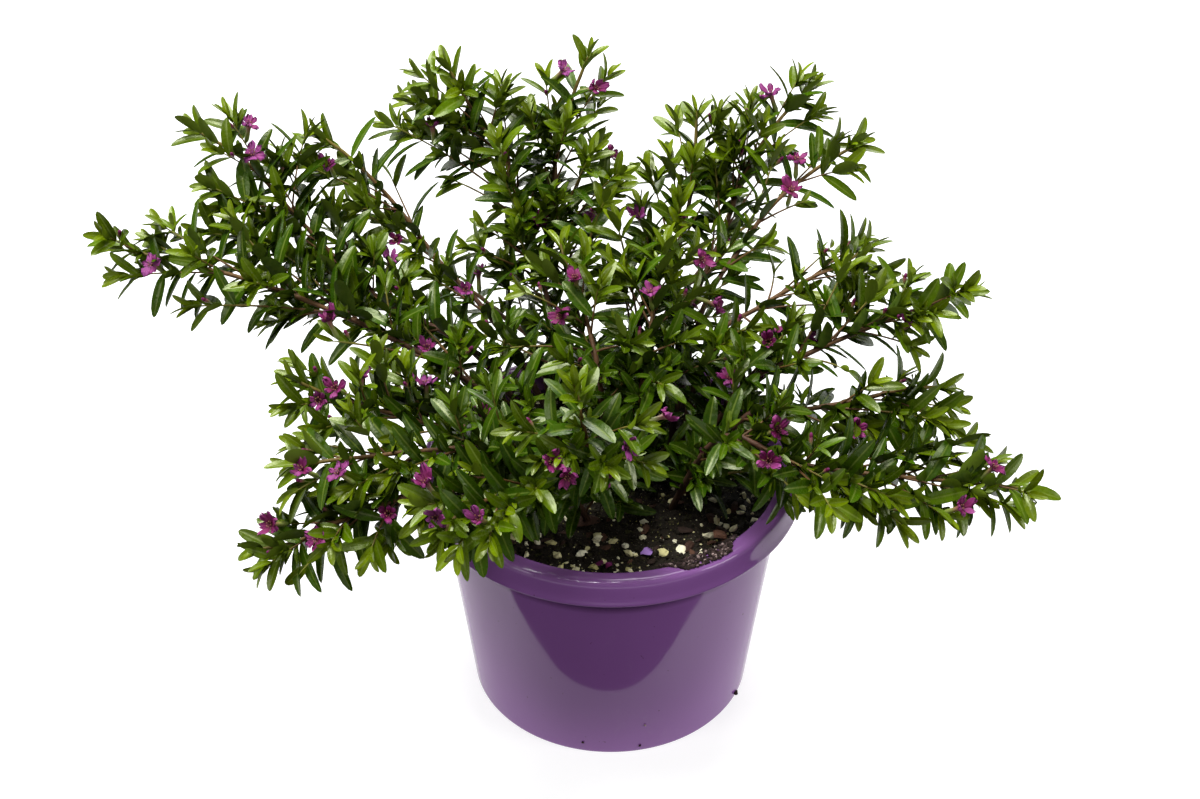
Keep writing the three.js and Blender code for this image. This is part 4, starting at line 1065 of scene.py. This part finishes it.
def leafy_piece(stem, shoots, sites, random):
    """One stem with its twigs and leaves as one object."""
    parts = []
    for index, shoot in enumerate(shoots):
        # The wood's age at the shoot's start and tip. The first shoot is the stem itself.
        ages = (1.0, 0.15) if index == 0 else (0.55, 0.0)
        steps = 30 if index == 0 else max(6, int(shoot.total / 4))
        points, faces, uv, age = wood_tube(shoot, steps, 8, *ages)
        parts.append((points, faces, uv, age, np.full(len(points), 0.5), np.full(len(faces), WOOD)))
    parts.append(leaf_blades(sites, random))
    points, faces, uv, age, tone, kinds = joined(parts)
    piece = mesh_object("sprays_" + stem["name"], points / 1000, [faces], [leaf_face, leaf_back, stem_wood],
                        kinds, uv, {"age": age, "tone": tone})
    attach(piece, "root")
    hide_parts("stem_" + stem["name"])


# Bloom shape: six thin crinkled petals, narrow at the claw and broad above it, on the mouth of a slender
# ribbed green calyx tube that is flushed red on top, with short stamens in the throat.
petal_skin, tree, shader = new_material("petal_skin")
tone = own_value(tree, "tone")
flesh = ramp(tree, uv_axis(tree, "Y"), [
    (0.0, (0.050, 0.002, 0.010)), (0.3, (0.120, 0.004, 0.044)), (0.7, (0.172, 0.010, 0.090)),
    (1.0, (0.228, 0.036, 0.158)),
])
flesh = blotched(tree, flesh, (0.192, 0.060, 0.205), tone, 0.5, 1.0, 0.65)
flesh = shaded(tree, flesh, tone, 0.68, 1.24)
veined = grain(tree, 900.0)
flesh = blotched(tree, flesh, (0.105, 0.005, 0.046), veined, 0.45, 0.7, 0.42)
finished(tree, shader, flesh, 0.6, 0.2)
bumped(tree, shader, veined, 0.5, 0.0004)

calyx_skin, tree, shader = new_material("calyx_skin")
flush = ramp(tree, uv_axis(tree, "Y"), [
    (0.0, (0.110, 0.190, 0.025)), (0.55, (0.150, 0.180, 0.030)), (0.85, (0.180, 0.070, 0.050)),
    (1.0, (0.200, 0.020, 0.080)),
])
flush = blotched(tree, flush, (0.09, 0.04, 0.02), grain(tree, 800.0), 0.4, 0.7, 0.4)
finished(tree, shader, flush, 0.5)

anther, tree, shader = new_material("anther")
speckled = mixed(tree, grain(tree, 1500.0, 2.0), (0.14, 0.012, 0.05), (0.34, 0.16, 0.07))
finished(tree, shader, speckled, 0.7)

PETAL_STATIONS = np.array([0.0, 0.16, 0.34, 0.54, 0.74, 0.90, 1.0])
PETAL_WIDTHS = np.array([0.08, 0.13, 0.25, 0.37, 0.40, 0.29, 0.10])
PETALS = 6
# The calyx holds its mouth this far out of the shoot, in millimetres.
CALYX_REACH = 9.0
# The material numbers of a bloom's parts.
PETAL, CALYX, ANTHER = 0, 1, 2


def petal_sheets(bloom, random):
    """Points, faces and uv of a bloom's six petals, each a sheet with a back. A petal's point lies on a
    ray out of the throat at the station's reach, off the ray by the width, and is lifted by a rise that
    flattens outwards and by a crinkle that grows towards the rim."""
    u = PETAL_STATIONS[:, None]
    v = np.linspace(-1, 1, 7)[None, :]
    loose = bloom.get("loose", 1.0)
    parts = []
    for petal in range(PETALS):
        angle = bloom["turn"] + petal / PETALS * 2 * np.pi + random.uniform(-0.09, 0.09)
        reach = bloom["radius"] * random.uniform(0.62, 1.06)
        tilt = bloom["cup"] + loose * random.uniform(-0.4, 0.6)
        phase = random.uniform(0, 2 * np.pi)
        outward = 0.45 + (reach - 0.45) * u + 0.14 * reach * u * np.cos(3.5 * v * np.pi + phase)
        sideways = PETAL_WIDTHS[:, None] * reach * 0.92 * bloom.get("broad", 1.0) * v
        crinkle = 0.75 * np.sin(2.6 * np.pi * v + phase) + 0.35 * np.sin(5.1 * np.pi * u + phase)
        height = -0.5 + 1.3 * np.sqrt(u) * 0.8 + reach * tilt * u**1.5 + loose * u * crinkle
        ray = np.stack([np.cos(angle), np.sin(angle)])
        flat_x = outward * ray[0] - sideways * ray[1]
        flat_y = outward * ray[1] + sideways * ray[0]
        for back in (0, 1):
            lifted = height - 0.10 * back
            points = (bloom["centre"] + flat_x[..., None] * bloom["across"]
                      + flat_y[..., None] * bloom["upper"] + lifted[..., None] * bloom["facing"])
            faces = sheet_faces(7, 7)
            if back:
                faces = faces[:, ::-1]
            uv = np.stack([np.broadcast_to((v + 1) / 2, (7, 7)), np.broadcast_to(u, (7, 7))], axis=2)
            parts.append((points.reshape(-1, 3), faces, uv.reshape(-1, 2)))
    return parts


def turned_along(start, run, profile, sides, ribs=0.0):
    """Points, faces and uv of a round shape along a direction, from its profile of distance and radius.
    Every other side stands out by the share ribs."""
    side = unit(np.cross(run, [0.31, 0.95, 0.2]))
    upper = np.cross(run, side)
    distance, radius = np.array(profile, float).T
    angle = np.linspace(0, 2 * np.pi, sides, endpoint=False)
    rib = 1 + ribs * np.where(np.arange(sides) % 2, 1, -1)
    points = (start + run * distance[:, None, None]
              + radius[:, None, None] * rib[None, :, None]
              * (side * np.cos(angle)[None, :, None] + upper * np.sin(angle)[None, :, None]))
    share = (distance - distance[0]) / (distance[-1] - distance[0])
    uv = np.stack(np.meshgrid(angle / (2 * np.pi), share), axis=2).reshape(-1, 2)
    return points.reshape(-1, 3), tube_faces(len(distance), sides), uv


def bloom_parts(bloom, random):
    """A bloom's petals, calyx and stamens as parts of points, faces, uv and material number."""
    parts = [(*part, PETAL) for part in petal_sheets(bloom, random)]
    tube = [
        (0.0, 0.25), (0.8, 0.3), (1.4, 0.75), (2.6, 0.95), (4.6, 0.85), (6.6, 0.8), (8.0, 1.0), (8.7, 1.15),
    ]
    parts.append((*turned_along(bloom["from"], bloom["run"], tube, 12, 0.05), CALYX))
    for petal in range(PETALS):
        angle = bloom["turn"] + (petal + 0.5) / PETALS * 2 * np.pi
        lean = bloom["across"] * math.cos(angle) + bloom["upper"] * math.sin(angle)
        tooth = unit(bloom["facing"] + 0.9 * lean)
        start = bloom["centre"] - 0.7 * bloom["facing"] + 0.75 * lean
        parts.append((*turned_along(start, tooth, [(0.0, 0.3), (0.7, 0.2), (1.3, 0.02)], 4), CALYX))
        filament = unit(bloom["facing"] + 0.35 * lean)
        start = bloom["centre"] - 0.8 * bloom["facing"] + 0.3 * lean
        height = random.uniform(1.0, 2.1)
        thread = [
            (0.0, 0.07), (height, 0.06), (height + 0.1, 0.22), (height + 0.4, 0.24), (height + 0.55, 0.02),
        ]
        parts.append((*turned_along(start, filament, thread, 5), ANTHER))
    return parts


def bloom_at(shoot, share, turn, radius, twist, cup):
    """Where a bloom sits: its calyx runs out of the shoot and its open face turns up and to the light."""
    along = shoot.along(share)
    run = unit(out_of(along, turn) * 0.82 + along * 0.57)
    facing = unit(run + np.array([0.0, -0.25, 0.5]))
    across = unit(np.cross(facing, [0.3, 1.0, 0.2]))
    start = shoot.at(share) + run * shoot.radius(share) * 0.6
    return {
        "from": start, "run": run, "facing": facing, "across": across, "upper": np.cross(facing, across),
        "radius": 0.81 * radius * (1 - 0.25 * cup), "cup": cup, "turn": twist,
        "centre": shoot.at(share) + run * CALYX_REACH,
    }


# Buds: blooms still shut near the tips of some twigs, each a slender green calyx with the folded
# petals, dark and club-shaped, just showing at its mouth.
def bud_parts(start, run, length):
    """A bud's parts: its calyx, and the folded petals that show at the mouth."""
    tube = [(0.0, 0.2), (0.5 * length, 0.22), (0.62 * length, 0.5), (0.85 * length, 0.74), (length, 0.62)]
    tip = [(0.97 * length, 0.6), (1.08 * length, 0.7), (1.2 * length, 0.5), (1.28 * length, 0.05)]
    return [(*turned_along(start, run, tube, 8, 0.04), CALYX), (*turned_along(start, run, tip, 8), PETAL)]


def with_kind_and_tone(parts, tone):
    """Parts whose material number is spread over their faces, with a tone for every point."""
    return [
        (points, faces, uv, np.full(len(faces), kind), np.full(len(points), tone))
        for points, faces, uv, kind in parts
    ]


# The shrub: each stem with its twigs and leaves is one piece, and its blooms and buds are another. The
# draws come in the solid plant's own order: every bloom's size and turn, then the leaves stem by stem.
#
# A leaf's age stands at this place in its row, and a leaf under YOUNG is still a young one. SHED is the
# share of its grown leaves that a shed shoot has lost.
AGE = 6
YOUNG, SHED = 0.3, 0.8
BLOOM_RADIUS, BUD_FROM_TIP = 5.6, 9
bloom_draws = [
    [(BLOOM_RADIUS * (0.9 + 0.2 * draw()), draw() * math.pi) for _ in stem["blooms"]] for stem in STEMS
]
plant_random = np.random.default_rng(11)
grown_stems = []
for stem in STEMS:
    main = Shoot(smooth_path([(*stem["foot"], 74)] + stem["path"]), 1.4, 0.6)
    shoots = [main] + [twig_shoot(main, twig) for twig in stem["twigs"]]
    sites = [leaf_sites(shoot, 0.5 * shoot.total if index == 0 else 6) for index, shoot in enumerate(shoots)]
    grown_stems.append((stem, main, shoots, sites))
for (stem, main, shoots, solid_sites), sizes in zip(grown_stems, bloom_draws):
    # On some shoots most of the grown leaves have been shed, and about half of the young ones.
    sites = []
    for index, group in enumerate(solid_sites):
        bare = SHED if index in stem["shed"] else 0.0
        for site in group:
            if plant_random.uniform(0, 1) >= bare * (0.6 if site[AGE] < YOUNG else 1.0):
                sites.append(site)
    finer = [twig_shoot(main, twig) for twig in stem["finer_twigs"]]
    for shoot in finer:
        sites += leaf_sites(shoot, 6)
    # The solid's stems are bare below the middle. These carry old leaves further down, and the fuller ones
    # have short side shoots there, whose leaves are older than those of a tip.
    sites += leaf_sites(main, 0.24 * main.total, 0.5 * main.total, 9)
    inner = side_shoots(main, plant_random) if stem["fullness"] > 0.6 else []
    for shoot in inner:
        sites += [(*site[:AGE], 0.35 + 0.65 * site[AGE]) for site in leaf_sites(shoot, 3)]
    finer += inner
    sites = [site for site in sites if site[AGE] < YOUNG or plant_random.uniform(0, 1) < stem["fullness"]]
    sites += axil_tufts(sites, plant_random)
    leafy_piece(stem, shoots + finer, sites, plant_random)
    parts = []
    for (index, share, turn), (radius, twist) in zip(stem["blooms"], sizes):
        cup = 0.75 * plant_random.uniform(0, 1)
        made = bloom_parts(bloom_at(shoots[index], share, turn, radius, twist, cup), plant_random)
        bloom_tone = plant_random.uniform(0.1, 0.8)
        for part in made:
            parts += with_kind_and_tone([part], bloom_tone + plant_random.uniform(-0.1, 0.2))
    # Every fourth twig has a bud near its tip.
    for shoot in (shoots + finer)[1::4]:
        share = max(0.3, 1 - BUD_FROM_TIP / shoot.total)
        run = unit(out_of(shoot.along(share), plant_random.uniform(30, 150)) + 0.9 * shoot.along(share))
        parts += with_kind_and_tone(bud_parts(shoot.at(share), run, plant_random.uniform(4.0, 6.5)), 0.1)
    points, faces, uv, kinds, tone = joined(parts)
    piece = mesh_object("blooms_" + stem["name"], points / 1000, [faces], [petal_skin, calyx_skin, anther],
                        kinds, uv, {"tone": tone})
    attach(piece, "root")
    # The solid model holds a stem's blooms as one or two nodes.
    names = ["bloom_" + stem["name"] + "_" + str(k + 1) for k in range(min(2, len(stem["blooms"])))]
    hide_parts(*names)

# Fallen petals: a faded lilac one and three fresh dark ones that have dropped from the blooms. They lie
# flat on the crumbs of the mix at the front.
faded, tree, shader = new_material("petal_faded")
lilac = mixed(tree, grain(tree, 900.0), (0.20, 0.095, 0.33), (0.29, 0.15, 0.44))
finished(tree, shader, lilac, 0.7)
parts = []
for x, y, radius, turn, kind in (
    (10.0, -42.6, 4.4, 0.1, 1), (-6.4, -46.6, 4.0, -0.5, 0), (-2.2, -49.2, 3.4, 0.9, 0),
    (20.0, -57.6, 3.4, 0.3, 0),
):
    petal = {
        "centre": np.array([x, y, soil_height(x, y) + 1.3]), "across": np.array([1.0, 0.0, 0.0]),
        "upper": np.array([0.0, 1.0, 0.0]), "facing": UP, "radius": radius, "turn": turn, "cup": 0.0,
        "broad": 1.35, "loose": 0.3,
    }
    # The first two sheets are one petal's front and back.
    one_petal = petal_sheets(petal, plant_random)[:2]
    parts += with_kind_and_tone([(*part, kind) for part in one_petal], 0.6)
points, faces, uv, kinds, tone = joined(parts)
piece = mesh_object("fallen_petals", points / 1000, [faces], [petal_skin, faded], kinds, uv, {"tone": tone})
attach(piece, "root")

# The size of the solid model and of the dressed one.
sizes = [[list(corner) for corner in box] for box in (solid_box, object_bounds())]
